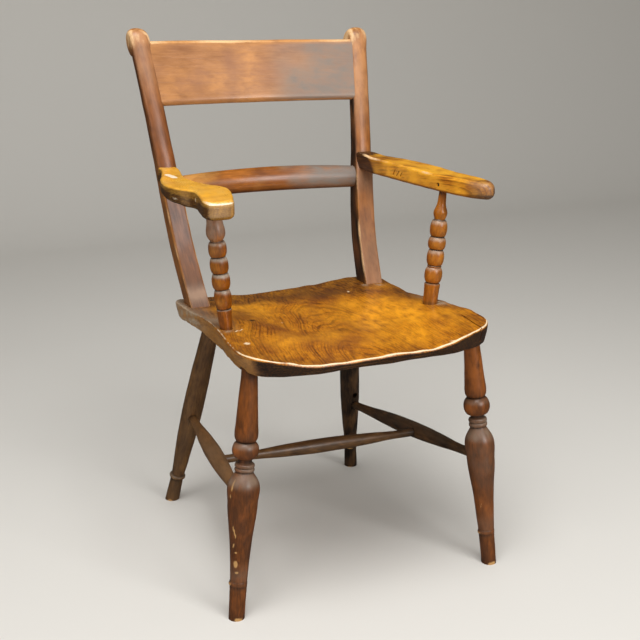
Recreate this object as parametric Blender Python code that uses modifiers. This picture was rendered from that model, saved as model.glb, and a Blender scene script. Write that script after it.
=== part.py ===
"""A bar back dining chair: a wooden armchair with turned legs, bobbin arm supports and two back bars.

Metres, +Z up. The sitter faces -Y, and "left" and "right" are as seen from the front, -X and +X.
Round tenons join the legs, stretchers and supports, the bars are tenoned and pegged into the posts,
and each post passes through the seat and is wedged there.
"""

import math

import bmesh
import bpy
import numpy as np
from mathutils import Vector

# Fits: every piece keeps this gap to the piece that it meets, and a cutter runs on past the face it opens
FIT_GAP = 0.0003
CUTTER_SPARE = 0.020
SIDES = {"left": -1.0, "right": 1.0}

# Seat board, with its outline at the top edge: wide in front, then waisted, with crisp back corners
SEAT_HEIGHT = 0.394
SEAT_THICKNESS = 0.033
SEAT_FRONT = -0.277
SEAT_BACK = 0.157
SEAT_FRONT_HALF_WIDTH = 0.2395
SEAT_SHOULDER_HALF_WIDTH = 0.2285
SEAT_SHOULDER_REACH = 0.107
SEAT_FLANK_HALF_WIDTH = 0.2125
SEAT_FLANK_REACH = 0.177
SEAT_WAIST_HALF_WIDTH = 0.2045
SEAT_WAIST_REACH = 0.247
SEAT_BACK_HALF_WIDTH = 0.202
FRONT_CORNER_POWER = 4.0
BACK_CORNER_POWER = 20.0
SEAT_TOP_ROUND = 0.0035
SEAT_BOTTOM_ROUND = 0.004
SEAT_FRONT_UNDERCUT = 0.012
SEAT_BACK_UNDERCUT = 0.002
SADDLE_DEPTH = 0.011
THIGH_DEPTH = 0.0155
THIGH_INNER = 0.085
THIGH_OUTER = 0.200
POMMEL_HEIGHT = 0.0018
POMMEL_SPREAD = 0.030
BACK_DIP = 0.005
BACK_DIP_SPREAD = 0.090
SEAT_BACK_FALL = 0.0075

# Front legs: places of the axis at the floor and under the seat, then the turning from the floor up.
# The right one is raked further forward
FRONT_FEET = {"left": (0.234, -0.229), "right": (0.224, -0.244)}
FRONT_LEG_TOP = (0.1955, -0.206)
FRONT_FOOT_DIAMETER = 0.025
FRONT_ANKLE_LENGTH = 0.0545
FRONT_ANKLE_DIAMETER = 0.0268
FRONT_RING_LENGTH = 0.0075
FRONT_RING_DIAMETER = 0.031
FRONT_SHIN_LENGTH = 0.060
FRONT_SHIN_DIAMETER = 0.034
FRONT_VASE_RISE = 0.068
FRONT_VASE_DIAMETER = 0.0468
FRONT_SHOULDER_LENGTH = 0.053
FRONT_SHOULDER_PLACE = 2 / 3
FRONT_SHOULDER_FULLNESS = 0.98
FRONT_COLLAR_LENGTH = 0.0145
FRONT_COLLAR_DIAMETER = 0.0305
FRONT_GROOVE_DIAMETER = 0.0255
FRONT_NECK_LENGTH = 0.0065
FRONT_NECK_DIAMETER = 0.0212
FRONT_BALL_LENGTH = 0.029
FRONT_BALL_DIAMETER = 0.0424
FRONT_BALL_FOOT_DIAMETER = 0.0235
FRONT_CUP_GROOVE_DIAMETER = 0.0298
FRONT_CUP_LIP_RISE = 0.0046
FRONT_CUP_RISE = 0.0115
FRONT_CUP_TOP_RISE = 0.0253
FRONT_CUP_DIAMETER = 0.0362
FRONT_CUP_FULLNESS = 0.955
FRONT_TOP_DIAMETER = 0.0258

# Back legs, turned plainly
BACK_FOOT = (0.1943, 0.2308)
BACK_LEG_TOP = (0.134, 0.124)
BACK_FOOT_DIAMETER = 0.0263
BACK_ANKLE_LENGTH = 0.052
BACK_RING_LENGTH = 0.0075
BACK_RING_DIAMETER = 0.0307
BACK_SHIN_DIAMETER = 0.0242
BACK_SWELL_RISE = 0.120
BACK_SWELL_DIAMETER = 0.037
BACK_TOP_DIAMETER = 0.0285
OLD_SOCKET_DIAMETER = 0.011
OLD_SOCKET_HEIGHT = 0.179

# Legs run straight into the seat, and are left long before their feet are sawn level
LEG_TENON_LENGTH = 0.020
LEG_STRAIGHT = 0.008
FOOT_SPARE = 0.006

# Stretchers: the right one is set lower at its back end
STRETCHER_BACK_HEIGHTS = {"left": 0.184, "right": 0.155}
STRETCHER_END_DIAMETER = 0.0152
STRETCHER_MIDDLE_DIAMETER = 0.029
STRETCHER_FLARE = 1.06
STRETCHER_TAPER_PLACE = 0.294
STRETCHER_TAPER_FULLNESS = 0.54
STRETCHER_STOP = 0.006
CROSS_PLACE = 0.57
CROSS_END_DIAMETER = 0.014
CROSS_MIDDLE_DIAMETER = 0.025
CROSS_STOP = 0.003

# Back posts: the front line in side view as heights over the seat's rim, with the depth at each
POST_BASE = 0.1717
POST_SPLAY = math.radians(5.39)
POST_WIDTH = 0.0345
POST_EDGE_ROUND = 0.0075
POST_LINE_HEIGHTS = (-0.012, 0.080, 0.166, 0.250, 0.335, 0.460)
POST_FRONTS = (0.0862, 0.134, 0.163, 0.185, 0.2105, 0.2512)
POST_DEPTHS = (0.044, 0.040, 0.034, 0.0275, 0.0242, 0.0228)
POST_HEIGHT = 0.458
SCROLL_RADIUS = 0.021
SCROLL_END_ANGLE = math.radians(-75.0)
SCROLL_NECK = 1.25
POST_TENON_WIDTH = 0.018
POST_TENON_DEPTH = 0.024
POST_TENON_ROOT = 0.006
WEDGE_THICKNESS = 0.0035
WEDGE_TIP_THICKNESS = 0.0012
WEDGE_LENGTH = 0.017

# Back bars, placed by heights over the seat
TOP_BAR_MIDDLE = 0.384
TOP_BAR_HEIGHT = 0.1146
TOP_BAR_THICKNESS = 0.017
TOP_BAR_EDGE_ROUND = 0.0055
TOP_BAR_BOW = 0.018
TOP_BAR_TENON_HEIGHT = 0.080
LOWER_BAR_MIDDLE = 0.1895
LOWER_BAR_HEIGHT = 0.040
LOWER_BAR_ARCH = 0.005
LOWER_BAR_THICKNESS = 0.0165
LOWER_BAR_BELLY = 0.85
LOWER_BAR_ARRIS = 0.12
LOWER_BAR_BOW = 0.018
LOWER_BAR_TENON_HEIGHT = 0.022
BAR_SETBACK = 0.0045
BAR_TENON_THICKNESS = 0.008
BAR_TENON_BEHIND = 0.0012
BAR_TENON_LENGTH = 0.018
BAR_TENON_ROOT = 0.014
PEG_DIAMETER = 0.006
PEG_PLACE = 0.55
PEG_TIP = 0.003

# Arm supports: turning from the seat up, with a barrel at the top of the left one and a pear on the right
SUPPORT_BASE = (0.1874, -0.0843)
SUPPORT_TOP = (0.2050, -0.0870)
SUPPORT_FOOT_DIAMETER = 0.0225
SUPPORT_FOOT_LENGTH = 0.035
SUPPORT_FOOT_TOP_DIAMETER = 0.0258
BEAD_COUNT = 4
BEAD_LENGTH = 0.027
BEAD_DIAMETER = 0.0295
BEAD_GROOVE_DIAMETER = 0.0222
PEAR_RISE = 0.011
PEAR_DIAMETERS = {"left": 0.0284, "right": 0.0224}
PEAR_GROOVE_DIAMETER = 0.0185
SUPPORT_NECK_DIAMETERS = {"left": 0.0205, "right": 0.0125}
SUPPORT_TENON_LENGTH = 0.017
SUPPORT_STRAIGHT = 0.003

# Arms: the top's height over the seat at the post, and the fall to the front
ARM_HEIGHT = 0.228
ARM_FALL = math.radians(1.1)
ARM_BACK_THICKNESS = 0.0245
ARM_FRONT_THICKNESS = 0.0255
ARM_EDGE_ROUND = 0.0070
ARM_END_INSET = 0.010
ARM_HALF_END = 0.0155
ARM_ELBOW_REACH = 0.138
ARM_ELBOW_INNER = 0.004
ARM_ELBOW_OUTER = 0.047
ARM_PAD_INNER = 0.023
ARM_PAD_OUTER = 0.0295
ARM_EAR_OUTER = 0.042
ARM_NOSE = 0.0985
ARM_PIN_DIAMETER = 0.004
ARM_SCREW_DIAMETER = 0.005
ARM_SCREW_HEAD_DIAMETER = 0.010
ARM_SCREW_GRIP = 0.028
ARM_SCREW_DROP = 0.0125
ARM_SCREW_TURN = math.radians(14.0)
ARM_SCREW_POINT = 0.3

# Facets, and the points taken along each profile
LEG_STEPS = 18
SUPPORT_STEPS = 16
STRETCHER_STEPS = 16
PEG_STEPS = 12
BALL_POINTS = 7
BEAD_POINTS = 5
VASE_POINTS = 11
BACK_LEG_POINTS = 9
STRETCHER_POINTS = 13
PEAR_POINTS = 8
POST_FRONT_POINTS = 13
SCROLL_POINTS = 12
POST_BACK_POINTS = 11
BAR_RINGS = 11
LOWER_BAR_POINTS = 9
SEAT_SEGMENTS = 68
SEAT_TOP_RINGS = (0.20, 0.38, 0.54, 0.68, 0.80, 0.91)
SEAT_BOTTOM_RINGS = (0.8, 0.4)

# Colours of the woods and the iron
LEG_COLOUR = (0.085, 0.030, 0.013)
SEAT_COLOUR = (0.250, 0.105, 0.034)
ARM_COLOUR = (0.300, 0.130, 0.036)
BACK_COLOUR = (0.170, 0.070, 0.030)
SUPPORT_COLOUR = (0.220, 0.085, 0.026)
PEG_COLOUR = (0.120, 0.055, 0.024)
IRON_COLOUR = (0.080, 0.075, 0.070)

SEAT_TOP = SEAT_HEIGHT + SEAT_THICKNESS
SEAT_MIDDLE = (SEAT_FRONT + SEAT_BACK) / 2
SEAT_HALF_DEPTH = (SEAT_BACK - SEAT_FRONT) / 2
SEAT_SHOULDER = SEAT_FRONT + SEAT_SHOULDER_REACH
SEAT_FLANK = SEAT_FRONT + SEAT_FLANK_REACH
SEAT_WAIST = SEAT_FRONT + SEAT_WAIST_REACH


# Curves and outlines


def smooth(knots, values, at):
    """A smooth line through a few points, read at one place."""
    knots = np.asarray(knots)
    values = np.asarray(values)
    slopes = np.gradient(values, knots)
    index = int(np.clip(np.searchsorted(knots, at) - 1, 0, len(knots) - 2))
    width = knots[index + 1] - knots[index]
    t = (at - knots[index]) / width
    rise = (2 * t**3 - 3 * t**2 + 1) * values[index] + (3 * t**2 - 2 * t**3) * values[index + 1]
    lean = (t**3 - 2 * t**2 + t) * slopes[index] + (t**3 - t**2) * slopes[index + 1]
    return float(rise + lean * width)


def ramp(low, high, value):
    """0 below low, 1 above high, and an S-curve between them."""
    t = min(max((value - low) / (high - low), 0.0), 1.0)
    return t * t * (3 - 2 * t)


def bead(low, high, base, crown, points=4):
    """Turning points of a rounded bead between two heights, as (height, radius)."""
    turns = [math.pi * i / points for i in range(points + 1)]
    middle = (low + high) / 2
    return [(middle - (high - low) / 2 * math.cos(a), base + (crown - base) * math.sin(a)) for a in turns]


def swell(heights, radii, points):
    """Turning points along a smooth swelling, as (height, radius)."""
    places = np.linspace(heights[0], heights[-1], points)
    return [(float(h), smooth(heights, radii, h)) for h in places]


def post_front(height):
    """Y of a post's front line at a height over the seat."""
    return smooth(POST_LINE_HEIGHTS, POST_FRONTS, height)


def post_back(height):
    """Y of a post's back line at a height over the seat."""
    return post_front(height) + smooth(POST_LINE_HEIGHTS, POST_DEPTHS, height)


def post_lean(height):
    """Angle of a post's front line from upright, in side view."""
    step = 0.002
    return math.atan2(post_front(height + step) - post_front(height - step), 2 * step)


def post_middle(height):
    """X of a post's middle at a height over the seat, on the right side."""
    return POST_BASE + height * math.tan(POST_SPLAY)


def arm_top(y):
    """Z of an arm's top at a place from back to front."""
    return SEAT_TOP + ARM_HEIGHT - (post_front(ARM_HEIGHT) - y) * math.tan(ARM_FALL)


def arm_thickness(y):
    """Thickness of an arm, which grows towards its front."""
    back = post_front(ARM_HEIGHT)
    nose = SUPPORT_TOP[1] - ARM_NOSE
    return float(np.interp(y, (nose, back), (ARM_FRONT_THICKNESS, ARM_BACK_THICKNESS)))


# Objects, cutters and joints


def add_mesh(name, mesh, group, colour=None, roughness=0.4, metallic=0.0):
    """One named object in a collection, under the chair's empty, with its own material."""
    obj = bpy.data.objects.new(name, mesh)
    group.objects.link(obj)
    obj.parent = root
    mesh.shade_smooth()
    mesh.set_sharp_from_angle(angle=math.radians(35.0))
    if colour is None:
        obj.hide_render = True
        obj.display_type = "WIRE"
        return obj
    material = bpy.data.materials.new(name)
    material.use_nodes = True
    shader = material.node_tree.nodes["Principled BSDF"]
    shader.inputs["Base Color"].default_value = (*colour, 1.0)
    shader.inputs["Roughness"].default_value = roughness
    shader.inputs["Metallic"].default_value = metallic
    mesh.materials.append(material)
    return obj


def mesh_from(work, name):
    """A mesh with its faces turned outwards, from a bmesh that is then freed."""
    work.normal_update()
    bmesh.ops.recalc_face_normals(work, faces=work.faces)
    mesh = bpy.data.meshes.new(name)
    work.to_mesh(mesh)
    work.free()
    return mesh


def turned(name, profile, foot, head, steps, group, colour=None, **finish):
    """A piece turned about the line from foot to head; profile is (height along it, radius), foot first."""
    points = [(0.0, profile[-1][0]), *((r, h) for h, r in reversed(profile)), (0.0, profile[0][0])]
    work = bmesh.new()
    verts = [work.verts.new((r, 0.0, h)) for r, h in points]
    for first, second in zip(verts, verts[1:]):
        work.edges.new((first, second))
    mesh = bpy.data.meshes.new(name)
    work.to_mesh(mesh)
    work.free()
    obj = add_mesh(name, mesh, group, colour, **finish)
    lathe = obj.modifiers.new("lathe", "SCREW")
    lathe.steps = steps
    lathe.render_steps = steps
    lathe.use_merge_vertices = True
    lathe.merge_threshold = 0.00001
    lathe.use_smooth_shade = True
    axis = Vector(head) - Vector(foot)
    obj.location = foot
    obj.rotation_mode = "QUATERNION"
    obj.rotation_quaternion = Vector((0, 0, 1)).rotation_difference(axis)
    return obj


def cut(obj, cutter, operation="DIFFERENCE"):
    """Cuts a piece by a cutter, or joins a tenon to it."""
    step = obj.modifiers.new(cutter.name, "BOOLEAN")
    step.operation = operation
    step.solver = "EXACT"
    step.object = cutter


def drill(name, start, end, diameter, *targets):
    """A round hole from start to end, through the target pieces."""
    length = (Vector(end) - Vector(start)).length
    profile = [(0.0, diameter / 2), (length, diameter / 2)]
    cutter = turned(name, profile, start, end, LEG_STEPS, cutters)
    for obj in targets:
        cut(obj, cutter)


def block(name, place, half_sizes, group, colour=None, **finish):
    """A box whose corners are set by place(x, y, z), a function of corners within the half sizes."""
    work = bmesh.new()
    bmesh.ops.create_cube(work, size=2.0)
    for vert in work.verts:
        x, y, z = (c * h for c, h in zip(vert.co, half_sizes))
        vert.co = place(x, y, z)
    return add_mesh(name, mesh_from(work, name), group, colour, **finish)


def slab(outline, half_thickness, edge_round, grow=0.0, smooth_corners=()):
    """A flat outline with thickness and rounded edges, as a bmesh; the smooth corners are curved through."""
    curve = bpy.data.curves.new("outline", "CURVE")
    curve.dimensions = "2D"
    curve.fill_mode = "BOTH"
    curve.bevel_depth = edge_round
    curve.bevel_resolution = 1
    curve.extrude = half_thickness - edge_round + grow
    curve.offset = grow - edge_round
    curve.resolution_u = 3
    spline = curve.splines.new("BEZIER")
    spline.bezier_points.add(len(outline) - 1)
    spline.use_cyclic_u = True
    for i, (point, (x, y)) in enumerate(zip(spline.bezier_points, outline)):
        point.co = (x, y, 0.0)
        kind = "AUTO" if i in smooth_corners else "VECTOR"
        point.handle_left_type = kind
        point.handle_right_type = kind
    if not smooth_corners:
        curve.resolution_u = 1
    obj = bpy.data.objects.new("outline", curve)
    bpy.context.scene.collection.objects.link(obj)
    graph = bpy.context.evaluated_depsgraph_get()
    mesh = bpy.data.meshes.new_from_object(obj.evaluated_get(graph))
    work = bmesh.new()
    work.from_mesh(mesh)
    bmesh.ops.remove_doubles(work, verts=work.verts, dist=0.00001)
    bpy.data.objects.remove(obj)
    bpy.data.curves.remove(curve)
    bpy.data.meshes.remove(mesh)
    return work


def loft(name, rings, group, colour, **finish):
    """A solid through a row of rings of points, with flat ends."""
    work = bmesh.new()
    rows = [[work.verts.new(p) for p in ring] for ring in rings]
    for low, high in zip(rows, rows[1:]):
        for i in range(len(low)):
            j = (i + 1) % len(low)
            work.faces.new((low[i], low[j], high[j], high[i]))
    work.faces.new(rows[0])
    work.faces.new(rows[-1])
    return add_mesh(name, mesh_from(work, name), group, colour, **finish)


# Seat


def seat_half_width(y):
    """Half the seat's width at a place from front to back, before its corners are rounded."""
    places = (SEAT_FRONT, SEAT_SHOULDER, SEAT_FLANK, SEAT_WAIST, SEAT_BACK)
    half_widths = (
        SEAT_FRONT_HALF_WIDTH,
        SEAT_SHOULDER_HALF_WIDTH,
        SEAT_FLANK_HALF_WIDTH,
        SEAT_WAIST_HALF_WIDTH,
        SEAT_BACK_HALF_WIDTH,
    )
    return smooth(places, half_widths, min(max(y, SEAT_FRONT), SEAT_BACK))


def seat_reach(angle):
    """Distance from the seat's middle to its top edge, at an angle in plan."""
    power = BACK_CORNER_POWER if math.sin(angle) > 0 else FRONT_CORNER_POWER
    near, far = 0.0, 0.5
    for _ in range(40):
        reach = (near + far) / 2
        y = SEAT_MIDDLE + reach * math.sin(angle)
        across = abs(reach * math.cos(angle) / seat_half_width(y)) ** power
        along = abs((y - SEAT_MIDDLE) / SEAT_HALF_DEPTH) ** power
        if across + along < 1.0:
            near = reach
        else:
            far = reach
    return near


def seat_hollow(x, y, share):
    """How far the saddled top lies under its rim; share runs from 0 at the middle to 1 at the edge."""
    bowl = SADDLE_DEPTH * (1.0 - ramp(0.28, 0.78, share))
    forward = ramp(SEAT_MIDDLE, SEAT_FRONT, y)
    scoop = THIGH_DEPTH * ramp(THIGH_OUTER, THIGH_INNER, abs(x))
    pommel = POMMEL_HEIGHT * math.exp(-((x / POMMEL_SPREAD) ** 2))
    backward = ramp(SEAT_MIDDLE, SEAT_BACK, y)
    dip = BACK_DIP * backward * math.exp(-((x / BACK_DIP_SPREAD) ** 2))
    fall = SEAT_BACK_FALL * ramp(SEAT_MIDDLE, post_front(-SEAT_BACK_FALL), y)
    return max(bowl, forward * (scoop - pommel), fall + dip)


def seat_undercut(y):
    """How far the seat's edge slopes in from its top to its underside, more at the front."""
    front = ramp(SEAT_WAIST, SEAT_SHOULDER, y)
    return SEAT_BACK_UNDERCUT + (SEAT_FRONT_UNDERCUT - SEAT_BACK_UNDERCUT) * front


def make_seat():
    """The saddled board: a sphere whose rings become its top, its edge and its underside."""
    turns = (0.0, math.pi / 4, math.pi / 2)
    upper = [(SEAT_TOP_ROUND * (1 - math.sin(a)), SEAT_TOP_ROUND * (1 - math.cos(a))) for a in turns]
    lower = [(SEAT_BOTTOM_ROUND * (1 - math.cos(a)), SEAT_BOTTOM_ROUND * (1 - math.sin(a))) for a in turns]
    edge_count = len(upper) + len(lower)
    top_count = len(SEAT_TOP_RINGS)
    ring_count = top_count + edge_count + len(SEAT_BOTTOM_RINGS) + 1
    work = bmesh.new()
    bmesh.ops.create_uvsphere(work, u_segments=SEAT_SEGMENTS, v_segments=ring_count, radius=1.0)
    for vert in work.verts:
        ring = round(math.acos(max(-1.0, min(1.0, vert.co.z))) / math.pi * ring_count)
        angle = math.atan2(vert.co.y, vert.co.x)
        edge = seat_reach(angle)
        rise = None
        if ring <= top_count:
            reach = edge * (SEAT_TOP_RINGS[ring - 1] if ring else 0.0)
            drop = 0.0
        elif ring <= top_count + len(upper):
            inset, drop = upper[ring - top_count - 1]
            reach = edge - inset
        elif ring <= top_count + edge_count:
            inset, rise = lower[ring - top_count - len(upper) - 1]
            reach = edge - inset - seat_undercut(SEAT_MIDDLE + edge * math.sin(angle))
        else:
            step = ring - top_count - edge_count - 1
            reach = edge * (SEAT_BOTTOM_RINGS[step] if step < len(SEAT_BOTTOM_RINGS) else 0.0)
            rise = 0.0
        x = reach * math.cos(angle)
        y = SEAT_MIDDLE + reach * math.sin(angle)
        top = SEAT_TOP - seat_hollow(x, y, min(reach / edge, 1.0))
        z = top - drop if rise is None else SEAT_HEIGHT + rise
        vert.co = (x, y, z)
    return add_mesh("seat", mesh_from(work, "seat"), parts, SEAT_COLOUR, roughness=0.35)


# Legs and stretchers


def front_leg_profile(length):
    """The front leg's turning from the floor up: ring, vase, collar, ball and cup."""
    ring = FRONT_ANKLE_LENGTH + FRONT_RING_LENGTH
    shin = ring + FRONT_SHIN_LENGTH
    vase = shin + FRONT_VASE_RISE
    collar = vase + FRONT_SHOULDER_LENGTH
    neck = collar + FRONT_COLLAR_LENGTH
    ball = neck + FRONT_NECK_LENGTH
    cup = ball + FRONT_BALL_LENGTH
    groove = FRONT_GROOVE_DIAMETER / 2
    ankle = FRONT_ANKLE_DIAMETER / 2
    belly = FRONT_VASE_DIAMETER / 2
    shoulder = vase + FRONT_SHOULDER_LENGTH * FRONT_SHOULDER_PLACE
    vase_heights = (ring, shin, vase, shoulder, collar)
    vase_radii = (ankle, FRONT_SHIN_DIAMETER / 2, belly, belly * FRONT_SHOULDER_FULLNESS, groove)
    bead_length = FRONT_COLLAR_LENGTH / 2
    neck_radius = FRONT_NECK_DIAMETER / 2
    cup_radius = FRONT_CUP_DIAMETER / 2
    profile = [(-FOOT_SPARE, FRONT_FOOT_DIAMETER / 2)]
    profile += bead(FRONT_ANKLE_LENGTH, ring, ankle, FRONT_RING_DIAMETER / 2)
    profile += swell(vase_heights, vase_radii, VASE_POINTS)[1:]
    for i in range(2):
        low = collar + i * bead_length
        profile += bead(low, low + bead_length, groove, FRONT_COLLAR_DIAMETER / 2)[1:]
    profile += [(neck + FRONT_NECK_LENGTH * share, neck_radius) for share in (0.4, 0.8)]
    profile += bead(ball, cup, FRONT_BALL_FOOT_DIAMETER / 2, FRONT_BALL_DIAMETER / 2, BALL_POINTS)[:-1]
    profile += [(cup, FRONT_CUP_GROOVE_DIAMETER / 2)]
    profile += [(cup + FRONT_CUP_LIP_RISE, cup_radius * FRONT_CUP_FULLNESS)]
    profile += [(cup + FRONT_CUP_RISE, cup_radius)]
    profile += [(cup + FRONT_CUP_TOP_RISE, cup_radius * FRONT_CUP_FULLNESS)]
    return profile + leg_head(length, FRONT_TOP_DIAMETER), vase


def back_leg_profile(length):
    """The back leg's turning from the floor up: one ring and a long swelling."""
    ring = BACK_ANKLE_LENGTH + BACK_RING_LENGTH
    swelling = ring + BACK_SWELL_RISE
    shin = BACK_SHIN_DIAMETER / 2
    heights = (ring, swelling, length - LEG_STRAIGHT)
    radii = (shin, BACK_SWELL_DIAMETER / 2, BACK_TOP_DIAMETER / 2)
    profile = [(-FOOT_SPARE, BACK_FOOT_DIAMETER / 2)]
    profile += bead(BACK_ANKLE_LENGTH, ring, shin, BACK_RING_DIAMETER / 2)
    profile += swell(heights, radii, BACK_LEG_POINTS)[1:-1]
    return profile + leg_head(length, BACK_TOP_DIAMETER)


def leg_head(length, diameter):
    """The straight top of a leg, which runs on into the seat as its tenon."""
    return [(length - LEG_STRAIGHT, diameter / 2), (length + LEG_TENON_LENGTH, diameter / 2)]


def on_leg(foot, top, height):
    """The place on a leg's axis at a height over the floor."""
    share = height / SEAT_HEIGHT
    return Vector((foot[0] + share * (top[0] - foot[0]), foot[1] + share * (top[1] - foot[1]), height))


def mirrored(place, side):
    """A place on the right side, taken to the side asked for."""
    return Vector((place[0] * side, *place[1:]))


def seat_leg(name, profile, foot, top, seat, floor):
    """One leg between the floor and the seat, tenoned and sawn level at its foot."""
    axis = (top - foot).normalized()
    leg = turned(name, profile, foot, top, LEG_STEPS, parts, LEG_COLOUR, roughness=0.32)
    cut(leg, floor)
    end = top + axis * (LEG_TENON_LENGTH + FIT_GAP)
    bore = 2 * (profile[-1][1] + FIT_GAP)
    drill(f"{name}_socket", top - axis * LEG_TENON_LENGTH, end, bore, seat)
    return leg


def stretcher_profile(length, stop, end_diameter, middle_diameter):
    """A rail that swells towards its middle and stops short of the axes that it joins."""
    low, high = stop, length - stop
    taper = length * STRETCHER_TAPER_PLACE
    heights = (low, taper / 2, taper, length / 2, length - taper, length - taper / 2, high)
    end, middle = end_diameter / 2, middle_diameter / 2
    near = (end + middle) * STRETCHER_TAPER_FULLNESS
    neck = end * STRETCHER_FLARE
    radii = (end, neck, near, middle, near, neck, end)
    return swell(heights, radii, STRETCHER_POINTS)


def rail(name, start, end, stop, end_diameter, middle_diameter, *legs):
    """A stretcher between two axes, in a blind socket at each end."""
    profile = stretcher_profile((end - start).length, stop, end_diameter, middle_diameter)
    obj = turned(name, profile, start, end, STRETCHER_STEPS, parts, LEG_COLOUR, roughness=0.34)
    axis = (end - start).normalized()
    reach = axis * (stop - FIT_GAP)
    bore = end_diameter * STRETCHER_FLARE + 2 * FIT_GAP
    run = axis * STRETCHER_MIDDLE_DIAMETER
    drill(f"{name}_front_socket", start + reach, start + run, bore, legs[0])
    drill(f"{name}_back_socket", end - reach, end - run, bore, legs[1])
    return obj


def make_base(seat):
    """The four legs and the H of stretchers between them."""
    floor = block("floor_cutter", lambda x, y, z: (x, y, z - 0.05), (0.6, 0.6, 0.05), cutters)
    crossings = {}
    rails = {}
    for name, side in SIDES.items():
        places = {}
        front_foot = FRONT_FEET[name]
        for kind, foot, top in (("front", front_foot, FRONT_LEG_TOP), ("back", BACK_FOOT, BACK_LEG_TOP)):
            for level, height in (("foot", 0.0), ("top", SEAT_HEIGHT)):
                places[kind, level] = mirrored(on_leg(foot, top, height), side)
        front_profile, vase = front_leg_profile((places["front", "top"] - places["front", "foot"]).length)
        back_profile = back_leg_profile((places["back", "top"] - places["back", "foot"]).length)
        front = seat_leg(
            f"front_leg_{name}", front_profile, places["front", "foot"], places["front", "top"], seat, floor
        )
        back = seat_leg(
            f"back_leg_{name}", back_profile, places["back", "foot"], places["back", "top"], seat, floor
        )
        start = mirrored(on_leg(front_foot, FRONT_LEG_TOP, vase), side)
        end = mirrored(on_leg(BACK_FOOT, BACK_LEG_TOP, STRETCHER_BACK_HEIGHTS[name]), side)
        rails[name] = rail(
            f"side_stretcher_{name}",
            start,
            end,
            STRETCHER_STOP,
            STRETCHER_END_DIAMETER,
            STRETCHER_MIDDLE_DIAMETER,
            front,
            back,
        )
        crossings[name] = end + (start - end) * CROSS_PLACE
        if name == "right":
            old = mirrored(on_leg(BACK_FOOT, BACK_LEG_TOP, OLD_SOCKET_HEIGHT), side)
            toward = (start - old).normalized()
            drill("old_socket", old, old + toward * STRETCHER_MIDDLE_DIAMETER, OLD_SOCKET_DIAMETER, back)
    rail(
        "cross_stretcher",
        crossings["left"],
        crossings["right"],
        CROSS_STOP,
        CROSS_END_DIAMETER,
        CROSS_MIDDLE_DIAMETER,
        rails["left"],
        rails["right"],
    )


# Back


def post_outline():
    """Side view of a post, as (y, height over the seat): front line, scroll and back line."""
    middle = POST_HEIGHT - SCROLL_RADIUS
    lean = post_lean(middle)
    tangent = middle + SCROLL_RADIUS * math.sin(lean)
    centre = post_front(tangent) + SCROLL_RADIUS * math.cos(lean)
    foot = FIT_GAP - SEAT_BACK_FALL
    front = [(post_front(h), float(h)) for h in np.linspace(foot, tangent, POST_FRONT_POINTS)]
    turns = np.linspace(math.pi - lean, SCROLL_END_ANGLE, SCROLL_POINTS)[1:]
    scroll = [(centre + SCROLL_RADIUS * math.cos(a), middle + SCROLL_RADIUS * math.sin(a)) for a in turns]
    under = middle - SCROLL_RADIUS * SCROLL_NECK
    back = [(post_back(h), float(h)) for h in np.linspace(under, foot, POST_BACK_POINTS)]
    return front + scroll + back


def post_mesh(name, side, grow=0.0):
    """A post's slab, stood up and leant outwards; grow makes the larger copy that scribes an arm to it."""
    work = slab(post_outline(), POST_WIDTH / 2, POST_EDGE_ROUND, grow)
    for vert in work.verts:
        y, height, across = vert.co
        vert.co = (side * post_middle(height) + across, y, SEAT_TOP + height)
    return mesh_from(work, name)


def bar_point(middle, forward, x, depth, height, bow=0.0):
    """A point of a bar that leans with the posts: depth runs back from its front, height up its face."""
    lean = post_lean(middle)
    y = post_front(middle) + forward + depth * math.cos(lean) + height * math.sin(lean) + bow
    z = SEAT_TOP + middle - depth * math.sin(lean) + height * math.cos(lean)
    return x, y, z


def inner_face(z):
    """X of the right post's inner face at a height over the floor."""
    return post_middle(z - SEAT_TOP) - POST_WIDTH / 2


def bar_rings(middle, bow, section):
    """Rings of a bowed bar from post to post; section(share) gives its (depth, height) points."""
    rings = []
    for share in np.linspace(-1.0, 1.0, BAR_RINGS):
        ring = []
        for depth, height in section(share):
            _, y, z = bar_point(middle, BAR_SETBACK, 0.0, depth, height, bow * (1 - share**2))
            ring.append((share * (inner_face(z) - FIT_GAP), y, z))
        rings.append(ring)
    return rings


def top_bar_section(_):
    """The upper bar: a board with rounded edges."""
    points = []
    half = TOP_BAR_HEIGHT / 2 - TOP_BAR_EDGE_ROUND
    near, far = TOP_BAR_EDGE_ROUND, TOP_BAR_THICKNESS - TOP_BAR_EDGE_ROUND
    corners = ((near, -half, 180.0), (far, -half, 270.0), (far, half, 0.0), (near, half, 90.0))
    for depth, height, start in corners:
        for turn in (0.0, 45.0, 90.0):
            angle = math.radians(start + turn)
            x = depth + TOP_BAR_EDGE_ROUND * math.cos(angle)
            points.append((x, height + TOP_BAR_EDGE_ROUND * math.sin(angle)))
    return points


def lower_bar_section(share):
    """The lower bar: round in front, flat behind, and arched along its top."""
    top = LOWER_BAR_HEIGHT / 2 + LOWER_BAR_ARCH * (1 - share**2)
    bottom = -LOWER_BAR_HEIGHT / 2
    centre, half = (top + bottom) / 2, (top - bottom) / 2
    belly = LOWER_BAR_THICKNESS * LOWER_BAR_BELLY
    turns = np.linspace(-math.pi / 2, math.pi / 2, LOWER_BAR_POINTS)
    front = [(belly * (1 - math.cos(a)), centre + half * math.sin(a)) for a in turns]
    arris = half * LOWER_BAR_ARRIS
    return [*front, (LOWER_BAR_THICKNESS, top - arris), (LOWER_BAR_THICKNESS, bottom + arris)]


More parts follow.
